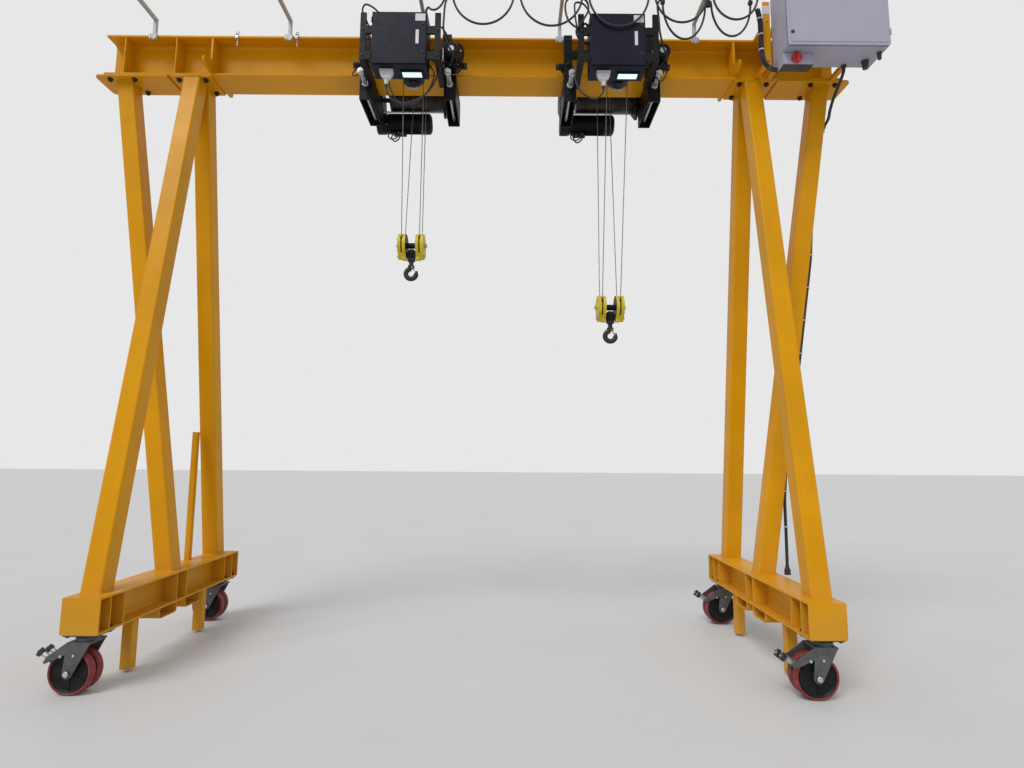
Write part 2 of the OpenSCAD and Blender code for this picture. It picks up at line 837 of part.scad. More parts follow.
// Rope drum with wound rope, its shaft held in the gearbox and the bearing plate. The turns are
// laid so that one lies over each place where a rope leaves the drum.
module drum(hook_x) {
    flange_w = 14;
    groove = 3;
    rim_r = drum_r + drum_rim;
    first = ceil((drum_left + flange_w - hook_x) / rope_turn + 0.5);
    last = floor((drum_right - flange_w - hook_x) / rope_turn - 0.5);
    low_r = drum_r - groove;
    shaft_from = gearbox_x + gearbox_t - gearbox_bore + seat;
    shaft_to = drum_right + bearing_t;
    color(steel_grey)
        translate([0, drum_y, drum_z]) rotate([0, 90, 0])
            rotate_extrude($fn = round_fn)
                polygon(concat(
                    [[0, shaft_from], [drum_shaft_r, shaft_from], [drum_shaft_r, drum_left],
                        [rim_r, drum_left], [rim_r, drum_left + flange_w],
                        [low_r, drum_left + flange_w]],
                    [for (k = [first:last]) each [
                        [low_r, hook_x + (k - 0.5) * rope_turn], [drum_r, hook_x + k * rope_turn]]],
                    [[low_r, hook_x + (last + 0.5) * rope_turn], [low_r, drum_right - flange_w],
                        [rim_r, drum_right - flange_w], [rim_r, drum_right],
                        [drum_shaft_r, drum_right], [drum_shaft_r, shaft_to], [0, shaft_to]]
                ));
}

module gearbox() {
    color(black)
        difference() {
            belt_plate(gearbox_x, gearbox_t, [drum_y, drum_z], gearbox_drum_r,
                [motor_y, motor_z], gearbox_motor_r);
            pin_x(gearbox_x + gearbox_t - gearbox_bore, gearbox_x + gearbox_t + 1, drum_y, drum_z,
                drum_shaft_r + seat);
        }
}

// Motor body with cooling fins, a fan cover with a rounded edge and a terminal box
module hoist_motor() {
    from = gearbox_x + gearbox_t + seat;
    fin_to = motor_right - 110;
    edge = 24;
    cover_r = motor_r - 1;
    color(black)
        union() {
            pin_x(from, fin_to + 10, motor_y, motor_z, motor_r - 14);
            pin_x(from, from + 18, motor_y, motor_z, motor_r - 3);
            translate([0, motor_y, motor_z]) rotate([0, 90, 0])
                rotate_extrude($fn = round_fn)
                    union() {
                        translate([0, fin_to]) square([cover_r, motor_right - edge - fin_to]);
                        translate([0, fin_to]) square([cover_r - edge, motor_right - fin_to]);
                        translate([cover_r - edge, motor_right - edge]) circle(edge, $fn = fine);
                    }
            for (a = [7.5:15:352.5])
                translate([from + 30, motor_y, motor_z]) rotate([a, 0, 0])
                    translate([0, motor_r - 20, -2]) cube([fin_to - from - 29, 18, 4]);
            bar_x(from + 60, from + 190, motor_y + motor_r - 40, motor_y + motor_r + 34,
                motor_z - 62, motor_z + 48);
        }
}

// Travel gear against the front post with its motor in front
module travel_drive() {
    gear_back = -post_out - seat;
    gear_t = 62;
    gear_low = [435, track_z + 16];
    gear_high = [450, track_z + 150];
    motor_at = [420, track_z + 44];
    drive_r = 68;
    drive_l = 150;
    front = gear_back - gear_t;
    color(black)
        union() {
            belt_y(front, gear_t, gear_low, 60, gear_high, 68);
            pin_y(motor_at.x, front - drive_l, front + 1, motor_at.y, drive_r - 6);
            pin_y(motor_at.x, front - drive_l - 8, front - drive_l + 46, motor_at.y, drive_r);
            bar_x(motor_at.x - 44, motor_at.x + 44, front - 104, front - 20,
                motor_at.y - drive_r - 26, motor_at.y - drive_r + 20);
        }
}

// Box with a lamp window and a plug hood under it
module control_box() {
    lamp = [14, 181];
    lamp_y = [-524, -456];
    lamp_rim = 12;
    plug_x = -113;
    plug_y = -534;
    hood_w = 108;
    hood_t = 46;
    hood_h = 48;
    neck_r = 16;
    color(black)
        union() {
            bar_x(-box_w / 2, box_w / 2, box_front, -box_back, box_z, box_z + box_h);
            bar_x(lamp[0] - lamp_rim, lamp[1] + lamp_rim, lamp_y[0] - lamp_rim,
                lamp_y[1] + lamp_rim, box_z - 10, box_z + 1);
            across_y(plug_y - hood_t / 2, hood_t)
                translate([plug_x, box_z])
                    polygon([
                        [-hood_w / 2, 1], [-hood_w / 2, -10], [-hood_w / 2 + 6, -hood_h],
                        [-neck_r, -hood_h - 34], [neck_r, -hood_h - 34],
                        [hood_w / 2 - 6, -hood_h], [hood_w / 2, -10], [hood_w / 2, 1]
                    ]);
            translate([plug_x, plug_y, box_z - hood_h - 34 - 46])
                cylinder(r = neck_r, h = 50, $fn = round_fn);
        }
}

// Straight round bar from one point to another
module fall(from, to) {
    way = to - from;
    translate(from)
        rotate([0, acos(way.z / norm(way)), atan2(way.y, way.x)])
            cylinder(r = rope_r, h = norm(way), $fn = fine);
}

// The two rear falls, from the drum to the block
module ropes(drop, hook_x) {
    color(zinc)
        for (side = [-1, 1])
            fall([hook_x + side * rope_x, rope_y, girder_z - drop - slot_h + 1],
                [hook_x + side * lead_x, drum_rope_y, drum_z]);
}

// The two front falls, from the upper sheave to the block
module sheave_ropes(drop, hook_x) {
    color(zinc)
        for (side = [-1, 1])
            fall([hook_x + side * rope_x, -rope_y, girder_z - drop - slot_h + 1],
                [upper_sheave_x + side * upper_sheave_r, -upper_sheave_y, upper_sheave_z]);
}

// Block with two sheave covers on a cross head, each with a slot at front and back for its rope
module hook_block(drop, hook_x) {
    top = girder_z - drop;
    mid = top - block_r;
    head_z = top - block_h + block_head;
    slot_w = 2 * rope_r + 9;
    color(paint)
        translate([hook_x, 0, 0])
            difference() {
                union() {
                    for (x = [-rope_x, rope_x])
                        belt_plate(x - block_side_w / 2, block_side_w, [0, mid], block_r,
                            [0, head_z], 32);
                    pin_x(-rope_x - block_side_w / 2 - 12, rope_x + block_side_w / 2 + 12, 0, mid, 26);
                    bar_x(-rope_x, rope_x, -36, 36, head_z - block_head_h / 2,
                        head_z + block_head_h / 2);
                }
                for (x = [-rope_x, rope_x], side = [0, 1]) mirror([0, side, 0])
                    bar_x(x - slot_w / 2, x + slot_w / 2, rope_y - slot_w / 2, block_r + 1,
                        top - slot_h, top + 1);
                translate([0, 0, head_z - block_head_h / 2 - 1])
                    cylinder(r = shank_r + running, h = block_head_h + 2, $fn = round_fn);
            }
}

// Forged hook on a swivel shank, with its throat towards +X
module hook(drop, hook_x) {
    head_z = girder_z - drop - block_h + block_head;
    head_half = block_head_h / 2;
    bow_r = 46;
    thick = 22;
    tip_r = 9;
    tip_l = 34;
    bow_z = head_z - 162;
    bow_top = bow_z + bow_r;
    sweep = 262;
    color(black)
        translate([hook_x, 0, 0])
            union() {
                translate([0, 0, bow_top])
                    cylinder(r = shank_r, h = head_z + head_half + 1 - bow_top, $fn = round_fn);
                translate([0, 0, bow_top + 6]) cylinder(r = 30, h = 24, $fn = round_fn);
                translate([0, 0, head_z - head_half - seat - 16])
                    cylinder(r = 34, h = 16, $fn = round_fn);
                translate([0, 0, head_z + head_half + seat])
                    cylinder(r = 34, h = 22, $fn = round_fn);
                translate([0, 0, bow_z]) rotate([90, 0, 0]) rotate([0, 0, 90]) {
                    rotate_extrude(angle = sweep, $fn = round_fn)
                        translate([bow_r, 0]) circle(thick, $fn = fine);
                    rotate([0, 0, sweep]) translate([bow_r, -1, 0]) rotate([-90, 0, 0])
                        cylinder(r1 = thick - 0.4, r2 = tip_r, h = tip_l, $fn = round_fn);
                }
            }
}

module left_trolley_frame() { translate([left_hoist_x, 0, 0]) trolley_frame(); }
module left_trolley_wheels() { translate([left_hoist_x, 0, 0]) trolley_wheels(); }
module left_drum() { translate([left_hoist_x, 0, 0]) drum(left_hook_x); }
module left_gearbox() { translate([left_hoist_x, 0, 0]) gearbox(); }
module left_hoist_motor() { translate([left_hoist_x, 0, 0]) hoist_motor(); }
module left_travel_drive() { translate([left_hoist_x, 0, 0]) travel_drive(); }
module left_control_box() { translate([left_hoist_x, 0, 0]) control_box(); }
module left_upper_sheave() { translate([left_hoist_x, 0, 0]) upper_sheave(); }
module left_ropes() { translate([left_hoist_x, 0, 0]) ropes(left_drop, left_hook_x); }
module left_sheave_ropes() {
    translate([left_hoist_x, 0, 0]) sheave_ropes(left_drop, left_hook_x);
}
module left_hook_block() { translate([left_hoist_x, 0, 0]) hook_block(left_drop, left_hook_x); }
module left_hook() { translate([left_hoist_x, 0, 0]) hook(left_drop, left_hook_x); }
module right_trolley_frame() { translate([right_hoist_x, 0, 0]) trolley_frame(); }
module right_trolley_wheels() { translate([right_hoist_x, 0, 0]) trolley_wheels(); }
module right_drum() { translate([right_hoist_x, 0, 0]) drum(right_hook_x); }
module right_gearbox() { translate([right_hoist_x, 0, 0]) gearbox(); }
module right_hoist_motor() { translate([right_hoist_x, 0, 0]) hoist_motor(); }
module right_travel_drive() { translate([right_hoist_x, 0, 0]) travel_drive(); }
module right_control_box() { translate([right_hoist_x, 0, 0]) control_box(); }
module right_upper_sheave() { translate([right_hoist_x, 0, 0]) upper_sheave(); }
module right_ropes() { translate([right_hoist_x, 0, 0]) ropes(right_drop, right_hook_x); }
module right_sheave_ropes() {
    translate([right_hoist_x, 0, 0]) sheave_ropes(right_drop, right_hook_x);
}
module right_hook_block() { translate([right_hoist_x, 0, 0]) hook_block(right_drop, right_hook_x); }
module right_hook() { translate([right_hoist_x, 0, 0]) hook(right_drop, right_hook_x); }

// Cabinet

module cabinet_shell() {
    body_d = cabinet_d - door_t;
    color(cabinet_grey)
        translate([cabinet_x, cabinet_back - body_d, cabinet_z + cabinet_h / 2])
            difference() {
                rotate([-90, 0, 0])
                    linear_extrude(body_d) rounded_rect(cabinet_w, cabinet_h, 14);
                translate([0, -1, 0]) rotate([-90, 0, 0])
                    linear_extrude(body_d - cabinet_wall + 1)
                        rounded_rect(cabinet_w - 2 * cabinet_wall, cabinet_h - 2 * cabinet_wall,
                            10);
            }
}

module cabinet_mounting_plate() {
    margin = 45;
    stand = 18;
    plate_t = 3;
    back = cabinet_back - cabinet_wall;
    color(zinc)
        union() {
            bar_x(cabinet_left + margin, cabinet_right - margin, back - stand - plate_t,
                back - stand, cabinet_z + margin, cabinet_z + cabinet_h - margin);
            for (x = [cabinet_left + margin + 20, cabinet_right - margin - 20],
                    z = [cabinet_z + margin + 20, cabinet_z + cabinet_h - margin - 20])
                pin_y(x, back - stand - 1, back, z, 8);
        }
}

// Door leaf with a folded rim, a raised field and two hinge knuckles
module cabinet_door() {
    leaf = door_t - seat;
    knuckle_r = 7;
    knuckle_h = 50;
    color(cabinet_grey)
        union() {
            translate([cabinet_x, cabinet_front, cabinet_z + cabinet_h / 2])
                rotate([-90, 0, 0])
                    union() {
                        translate([0, 0, 4])
                            linear_extrude(leaf - 4) rounded_rect(cabinet_w, cabinet_h, 14);
                        linear_extrude(5) rounded_rect(cabinet_w - 50, cabinet_h - 50, 8);
                    }
            for (z = [cabinet_z + 90, cabinet_z + cabinet_h - 90 - knuckle_h])
                translate([cabinet_right, cabinet_front, z])
                    cylinder(r = knuckle_r, h = knuckle_h, $fn = fine);
        }
}

// Two uprights behind the cabinet with arms to the girder flanges
module cabinet_bracket() {
    arm = 40;
    post_w = 60;
    post_t = 10;
    color(paint)
        union() {
            for (x = [cabinet_left + 70, cabinet_right - 190]) {
                bar_x(x - post_w / 2, x + post_w / 2, cabinet_back, cabinet_back + post_t,
                    girder_z - 20, cabinet_z + cabinet_h - 30);
                for (z = [girder_z + girder_flange / 2, girder_top - girder_flange / 2])
                    bar_x(x - arm / 2, x + arm / 2, cabinet_back + post_t - 1, -girder_w / 2,
                        z - arm / 2, z + arm / 2);
            }
        }
}

module main_switch() {
    box_l = 255;
    box_deep = 100;
    box_drop = 105;
    knob_r = 42;
    front = -600;
    color(steel_grey)
        union() {
            bar_x(cabinet_left, cabinet_left + box_l, front, front + box_deep,
                cabinet_z - box_drop, cabinet_z);
            pin_y(cabinet_left + 110, front - 28, front + 1, cabinet_z - box_drop / 2, knob_r);
        }
}

// Festoon system

module festoon_rails() {
    color(zinc)
        for (y = rail_y)
            across_x(rail_left, rail_right - rail_left)
                translate([y, rail_z + rail_size / 2])
                    difference() {
                        square(rail_size, center = true);
                        square(rail_size - 2 * rail_wall, center = true);
                        translate([0, -rail_size / 2])
                            square([rail_slot, 4 * rail_wall], center = true);
                    }
}

// Clamps on the top flange with arms that carry the rails
module rail_arms() {
    arm = 30;
    clamp_l = 70;
    clamp_t = 12;
    color(zinc)
        for (x = arm_x)
            union() {
                bar_x(x - clamp_l / 2, x + clamp_l / 2, -girder_w / 2 - clamp_t, -girder_w / 2 + 60,
                    girder_top, girder_top + clamp_t);
                bar_x(x - clamp_l / 2, x + clamp_l / 2, -girder_w / 2 - clamp_t, -girder_w / 2,
                    girder_top - 45, girder_top + 1);
                bar_x(x - arm / 2, x + arm / 2, -girder_w / 2, -girder_w / 2 + arm,
                    girder_top + clamp_t - 1, rail_z + rail_size + arm);
                bar_x(x - arm / 2, x + arm / 2, rail_y[1] - 30, -girder_w / 2 + 1,
                    rail_z + rail_size, rail_z + rail_size + arm);
            }
}

// A cable that hangs in half ellipses between its carriers and turns over each in a small arc
saddle_r = 26;
function arc_points(c, a, b, from, to, n) =
    [for (k = [0:n]) let (t = from + (to - from) * k / n) [c.x + a * cos(t), c.y, c.z + b * sin(t)]];
function loop_points(x0, x1, y, z, sag) =
    arc_points([(x0 + x1) / 2, y, z], (x1 - x0) / 2 - saddle_r, sag, 180, 360, 14);
function saddle_points(x, y, z) =
    let (p = arc_points([x, y, z], saddle_r, saddle_r, 180, 0, 6)) [for (k = [1:5]) p[k]];

// Cable with its carriers. Each carrier runs on a roller inside the rail.
module festoon_line(xs, y, sags) {
    z = rail_z - carrier_drop;
    last = len(xs) - 1;
    route = [for (i = [0:last - 1]) each concat(
        loop_points(xs[i], xs[i + 1], y, z, sags[i]),
        i < last - 1 ? saddle_points(xs[i + 1], y, z) : [])];
    clamp_w = 36;
    clamp_half = 14;
    roller_r = 12;
    hanger = rail_slot / 2 - 5;
    roller_half = rail_size / 2 - rail_wall - 3;
    color(black)
        union() {
            swept_tube(route, festoon_r);
            for (x = [for (i = [1:last - 1]) xs[i]])
                pin_y(x, y - clamp_half, y + clamp_half, z, saddle_r + 2);
            for (x = [xs[0] + saddle_r, xs[last] - saddle_r])
                bar_x(x - clamp_w / 2, x + clamp_w / 2, y - clamp_half, y + clamp_half,
                    z - 5, z + 25);
            for (x = concat([xs[0] + saddle_r], [for (i = [1:last - 1]) xs[i]],
                    [xs[last] - saddle_r])) {
                bar_x(x - 8, x + 8, y - hanger, y + hanger, z, rail_z + rail_wall + roller_r);
                pin_y(x, y - roller_half, y + roller_half, rail_z + rail_wall + seat + roller_r,
                    roller_r);
            }
        }
}

left_carriers = [left_hoist_x + 420, 400, 980, 1540, 2030, 2460];
right_carriers = [right_hoist_x + 380, 2050, 2440];
module left_festoon_cable() { festoon_line(left_carriers, rail_y[1], [290, 300, 300, 260, 230]); }
module right_festoon_cable() { festoon_line(right_carriers, rail_y[0], [330, 300]); }

// Lead from the cabinet to the right outer leg, clipped along the outer face of the leg
module supply_cable() {
    slope = (outer_head_x - carriage_x) / leg_rise;
    clip_gap = 0.8;
    out = (leg_size / 2 + supply_r + clip_gap) * sqrt(1 + slope * slope);
    lead_y = -45;
    leg_line = function(z) carriage_x + slope * (z - carriage_top) + out;
    clipped = [for (z = [4700, 3400, 2200, 1300]) [leg_line(z), lead_y, z]];
    route = concat(
        [[3240, -440, cabinet_z - seat], [3240, -440, cabinet_z - 40], [3236, -408, cabinet_z - 90],
            [3232, -340, cabinet_z - 150], [3236, -250, cabinet_z - 205],
            [3254, -160, cabinet_z - 250],
            [leg_line(cabinet_z - 290) + 5, -80, cabinet_z - 290]],
        clipped,
        [[leg_line(1300) - 4, lead_y - 3, 1000], [leg_line(1300) - 8, lead_y - 6, carriage_top + 30]]
    );
    color(black) swept_tube(route, supply_r);
}

girder();
girder_stiffeners();
trolley_stops();
head_plates();
left_front_leg();
left_rear_leg();
left_outer_leg();
right_front_leg();
right_rear_leg();
right_outer_leg();
left_carriage();
right_carriage();
parking_feet();
fork_pockets();
cable_post();
cabinet_shell();
cabinet_mounting_plate();
cabinet_door();
cabinet_bracket();
main_switch();
festoon_rails();
rail_arms();
supply_cable();
left_festoon_cable();
right_festoon_cable();
caster_plates();
front_left_fork();
front_left_wheels();
front_right_fork();
front_right_wheels();
rear_left_fork();
rear_left_wheels();
rear_right_fork();
rear_right_wheels();
left_trolley_frame();
left_trolley_wheels();
left_drum();
left_gearbox();
left_hoist_motor();
left_travel_drive();
left_control_box();
left_upper_sheave();
left_ropes();
left_sheave_ropes();
left_hook_block();
left_hook();
right_trolley_frame();
right_trolley_wheels();
right_drum();
right_gearbox();
right_hoist_motor();
right_travel_drive();
right_control_box();
right_upper_sheave();
right_ropes();
right_sheave_ropes();
right_hook_block();
right_hook();
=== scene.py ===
"""Gantry crane: finishes, fasteners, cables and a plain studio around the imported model."""

import json
import math
from itertools import product

import bmesh
import bpy
from bpy.props import FloatProperty, FloatVectorProperty, PointerProperty
from mathutils import Matrix, Vector


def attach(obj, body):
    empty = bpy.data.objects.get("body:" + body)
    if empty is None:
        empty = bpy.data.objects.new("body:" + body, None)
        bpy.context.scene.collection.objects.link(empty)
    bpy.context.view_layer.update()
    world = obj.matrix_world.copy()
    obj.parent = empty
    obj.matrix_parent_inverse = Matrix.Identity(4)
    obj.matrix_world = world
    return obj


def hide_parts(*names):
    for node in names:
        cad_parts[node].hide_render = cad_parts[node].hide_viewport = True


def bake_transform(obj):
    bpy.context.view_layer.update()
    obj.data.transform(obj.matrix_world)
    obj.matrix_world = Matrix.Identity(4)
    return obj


bl_info = {
    "name": "Gantry Crane Dresser",
    "version": (1, 0, 0),
    "blender": (4, 5, 0),
    "location": "3D View > Sidebar > Crane",
    "description": "Adds finishes, fasteners, welds and cables to a mobile gantry crane",
    "category": "Object",
}

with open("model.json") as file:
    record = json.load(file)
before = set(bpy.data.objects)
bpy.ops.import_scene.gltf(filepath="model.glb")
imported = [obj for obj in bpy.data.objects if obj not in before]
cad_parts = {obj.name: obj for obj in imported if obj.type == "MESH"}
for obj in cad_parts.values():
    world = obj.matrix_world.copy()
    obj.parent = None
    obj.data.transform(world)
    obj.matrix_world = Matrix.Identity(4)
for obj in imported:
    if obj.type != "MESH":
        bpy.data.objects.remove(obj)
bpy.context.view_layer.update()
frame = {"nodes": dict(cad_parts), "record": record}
SLOT_OF = {part["node"]: part["material_slot"] for part in frame["record"]["subparts"]}
BODY_OF = {node: body for body, nodes in frame["record"]["behaviour"]["bodies"].items() for node in nodes}

SIDES = (-1, 1)
UP, DOWN, FRONT, BACK, RIGHT = (0, 0, 1), (0, 0, -1), (0, -1, 0), (0, 1, 0), (1, 0, 0)

# Places that part.scad gives its pieces, in metres
GIRDER_LOW, GIRDER_HIGH = 5.080, 5.470
HEAD_BOLT_X, HEAD_BOLT_Y = (3.346, 3.120, 2.711, 2.462), 0.104
STIFFENER_X, THICK_STIFFENER_X = (3.206, 2.736, 2.406), 2.406
LEG_X, LEG_FOOT_Y, LEG_HALF, LEG_TOP = 2.570, 0.850, 0.075, 5.065
OUTER_FOOT_X, OUTER_HEAD_X = 2.540, 3.233
CARRIAGE_TOP, CARRIAGE_LOW = 0.650, 0.405
CASTERS = {f"{row}_{col}": (x, y) for row, y in (("front", -0.94), ("rear", 0.94))
           for col, x in (("left", -2.54), ("right", 2.54))}
WHEEL_R, CASTER_TRAIL = 0.15, 0.07
BRAKE_LEAN = Vector((-math.cos(math.radians(30)), 0, math.sin(math.radians(30))))
RAIL_ARM_X, RAIL_Y, RAIL_Z = (-2.950, -1.700, -0.450, 0.800, 2.050), {"right": -0.530, "left": -0.640}, 5.580
CARRIER_DROP, SADDLE_R = 0.060, 0.026
CABINET_LEFT, CABINET_RIGHT, CABINET_FRONT, CABINET_LOW, CABINET_HIGH = 2.6405, 3.4875, -0.712, 5.020, 5.656
LEAD_X, LEAD_Y, SWITCH_X, SWITCH_Z = 3.240, -0.440, 2.7505, 4.9675

# Middles of the trolleys, and of the hooks with the tops of their blocks
HOISTS = {"left": -0.590, "right": 1.252}
HOOKS = {"left": (-0.540, 3.630), "right": (1.257, 3.070)}
ROPE_X, HOOK_CHEEK, BLOCK_AXLE_DROP, SWIVEL_DROP = 0.080, 0.115, 0.105, 0.205

# Places on a trolley, with X from its middle
BOX_FRONT, BOX_LOW, BOX_TOP, BOX_HALF = -0.612, 4.878, 5.357, 0.2325
PLUG_X, PLUG_Y = -0.113, -0.534
DRUM_Y, DRUM_Z, MOTOR_Y, MOTOR_Z = 0.350, 5.155, 0.463, 4.970
YOKE_X, YOKE_Z, CHEEK_Y, SHEAVE_X = (-0.367, 0.392), 4.951, 0.2253, 0.062

# Rounding that leaves a flat rim on nodes with thin walls
THIN_EDGES = {"cabinet_shell": 0.0012, "cabinet_mounting_plate": 0.0006, "festoon_rails": 0.0007,
              "cable_post": 0.0011}


# Settings that a user would change

class CraneFinish(bpy.types.PropertyGroup):
    """Colours and wear of the crane."""
    paint: FloatVectorProperty(
        name="Paint", description="Colour of the girder, the legs and the hook blocks",
        default=(0.66, 0.300, 0.0025), size=3, min=0.0, max=1.0, subtype="COLOR")
    hoist: FloatVectorProperty(
        name="Hoist", description="Colour of the trolleys, motors and control boxes",
        default=(0.0072, 0.0080, 0.0195), size=3, min=0.0, max=1.0, subtype="COLOR")
    tread: FloatVectorProperty(
        name="Tread", description="Colour of the caster treads",
        default=(0.20, 0.014, 0.013), size=3, min=0.0, max=1.0, subtype="COLOR")
    cabinet: FloatVectorProperty(
        name="Cabinet", description="Colour of the control cabinet",
        default=(0.37, 0.365, 0.455), size=3, min=0.0, max=1.0, subtype="COLOR")
    dust: FloatProperty(
        name="Dust", description="Share of the paint that carries dust",
        default=0.35, min=0.0, max=1.0, subtype="FACTOR")
    dust_height: FloatProperty(
        name="Dust Height", description="Height above the floor up to which road dust shows",
        default=0.9, min=0.0, max=3.0, unit="LENGTH")


class CraneDetail(bpy.types.PropertyGroup):
    """Sizes of edges, welds and fasteners."""
    edge: FloatProperty(
        name="Edge", description="Rounding of sawn and flame cut edges",
        default=0.0020, min=0.0005, max=0.006, unit="LENGTH")
    weld: FloatProperty(
        name="Weld", description="Radius of a weld bead",
        default=0.0055, min=0.002, max=0.012, unit="LENGTH")
    bolt: FloatProperty(
        name="Bolt", description="Shank diameter of the girder bolts",
        default=0.024, min=0.012, max=0.036, unit="LENGTH")


class CraneStage(bpy.types.PropertyGroup):
    """Camera, lamps and floor."""
    lens: FloatProperty(
        name="Lens", description="Focal length on a 36 mm wide sensor",
        default=21.251, min=10.0, max=100.0)
    eye: FloatVectorProperty(
        name="Eye", description="Place of the camera",
        default=(0.3748, -5.3144, 1.6257), size=3, subtype="TRANSLATION", unit="LENGTH")
    yaw: FloatProperty(
        name="Yaw", description="How far the camera looks to the right",
        default=0.0012, subtype="ANGLE", unit="ROTATION")
    pitch: FloatProperty(
        name="Pitch", description="How far the camera looks up",
        default=0.1200, subtype="ANGLE", unit="ROTATION")
    roll: FloatProperty(
        name="Roll", description="How far the camera leans",
        default=0.0071, subtype="ANGLE", unit="ROTATION")
    floor: FloatVectorProperty(
        name="Floor", description="Colour of the floor",
        default=(0.60, 0.60, 0.60), size=3, min=0.0, max=1.0, subtype="COLOR")
    sky: FloatProperty(
        name="Sky", description="Strength of the light from all round",
        default=0.62, min=0.0, max=2.0)
    key: FloatProperty(
        name="Key", description="Strength of the soft lamp above the front",
        default=1.6, min=0.0, max=10.0)


# Node trees

class Finish:
    """A material under construction, with short calls for its nodes."""

    def __init__(self, name):
        self.material = bpy.data.materials.new(name)
        self.material.use_nodes = True
        self.tree = self.material.node_tree
        self.shader = self.tree.nodes["Principled BSDF"]
        self.place = self.node("ShaderNodeTexCoord").outputs["Object"]

    def node(self, kind, **values):
        made = self.tree.nodes.new(kind)
        for key, value in values.items():
            setattr(made, key, value)
        return made

    def fill(self, node, values):
        """Sets or links inputs, found by name or number."""
        for key, value in values.items():
            if isinstance(value, bpy.types.NodeSocket):
                self.tree.links.new(value, node.inputs[key])
            else:
                node.inputs[key].default_value = value
        return node

    def feed(self, node, **sockets):
        """Fills inputs that are named with underscores for spaces."""
        return self.fill(node, {key.replace("_", " "): value for key, value in sockets.items()})

    def surface(self, **sockets):
        self.feed(self.shader, **sockets)
        return self.material

    def stretch(self, scale):
        """Object coordinates, scaled."""
        return self.feed(self.node("ShaderNodeMapping"), Vector=self.place, Scale=scale).outputs["Vector"]

    def noise(self, scale, detail=4.0, rough=0.55, place=None):
        made = self.feed(
            self.node("ShaderNodeTexNoise"),
            Vector=place or self.place, Scale=scale, Detail=detail, Roughness=rough)
        return made.outputs[0]

    def cells(self, scale):
        return self.feed(self.node("ShaderNodeTexVoronoi"), Vector=self.place, Scale=scale).outputs["Distance"]

    def bands(self, scale, direction, place=None, bend=0.0):
        made = self.node("ShaderNodeTexWave", wave_type="BANDS", bands_direction=direction)
        return self.feed(made, Vector=place or self.place, Scale=scale, Distortion=bend, Detail=2.0).outputs["Fac"]

    def range(self, value, low, high, to_low=0.0, to_high=1.0):
        made = self.node("ShaderNodeMapRange", clamp=True)
        return self.fill(made, dict(enumerate((value, low, high, to_low, to_high)))).outputs[0]

    def math(self, operation, a, b):
        return self.fill(self.node("ShaderNodeMath", operation=operation, use_clamp=True), {0: a, 1: b}).outputs[0]

    def blend(self, share, a, b):
        """Colour a where share is 0 and colour b where it is 1."""
        a, b = (item if isinstance(item, bpy.types.NodeSocket) else (*item, 1.0) for item in (a, b))
        made = self.node("ShaderNodeMix", data_type="RGBA", clamp_factor=True)
        return self.fill(made, {0: share, 6: a, 7: b}).outputs[2]

    def height(self):
        """Height above the floor in metres."""
        return self.feed(self.node("ShaderNodeSeparateXYZ"), Vector=self.place).outputs["Z"]

    def bump(self, height, strength, distance, under=None):
        made = self.feed(self.node("ShaderNodeBump"), Height=height, Strength=strength, Distance=distance)
        if under:
            self.tree.links.new(under, made.inputs["Normal"])
        return made.outputs["Normal"]


def tint(colour, factor):
    return tuple(min(1.0, channel * factor) for channel in colour)


def coat(name, clouds, dark, light, span=(0.35, 0.7), film=None, gloss=0.4, grain=None, **fixed):
    """A clouded colour with a film of dust or grease, an uneven gloss and a grain. Clouds, film, gloss
    and grain each start with the scale and detail of their noise; a grain of one number is of cells."""
    f = Finish(name)
    base = f.blend(f.range(f.noise(*clouds), *span), dark, light)
    if film:
        noise, low, high, share, colour = film
        base = f.blend(f.range(f.noise(*noise), low, high, 0.0, share), base, colour)
    if isinstance(gloss, tuple):
        noise, low, high = gloss
        gloss = f.range(f.noise(*noise), 0.3, 0.7, low, high)
    pattern, strength, depth = grain
    pattern = f.noise(*pattern) if isinstance(pattern, tuple) else f.cells(pattern)
    return f.surface(Base_Color=base, Roughness=gloss, Normal=f.bump(pattern, strength, depth), **fixed)


# Finishes

def signal_paint():
    """Sprayed two-coat enamel: clouded, a little orange-peeled, dusty near the floor."""
    settings = bpy.context.scene.crane_finish
    paint = tuple(settings.paint)
    f = Finish("signal_paint")
    cloud = f.range(f.noise(1.3, 5.0, 0.6), 0.35, 0.68)
    base = f.blend(cloud, tint(paint, 0.90), tint(paint, 1.06))
    streak = f.range(f.noise(2.2, 6.0, 0.7, f.stretch((5.0, 5.0, 0.35))), 0.55, 0.78, 0.0, 0.22)
    base = f.blend(streak, base, (0.42, 0.17, 0.006))
    speck = f.range(f.noise(85.0, 3.0, 0.6), 0.67, 0.74, 0.0, 0.45)
    base = f.blend(speck, base, (0.24, 0.12, 0.03))
    low = f.range(f.height(), settings.dust_height, 0.1, 0.0, settings.dust)
    patchy = f.math("MULTIPLY", low, f.range(f.noise(7.0, 8.0, 0.7), 0.30, 0.72))
    base = f.blend(patchy, base, (0.30, 0.24, 0.17))
    rough = f.math("ADD", f.range(f.noise(9.0, 4.0), 0.3, 0.75, 0.26, 0.40), patchy)
    peel = f.bump(f.noise(420.0, 2.0, 0.5), 0.10, 0.0008)
    normal = f.bump(f.noise(3.2, 2.0, 0.4), 0.06, 0.010, peel)
    return f.surface(Base_Color=base, Roughness=rough, Normal=normal, Specular_IOR_Level=0.14)


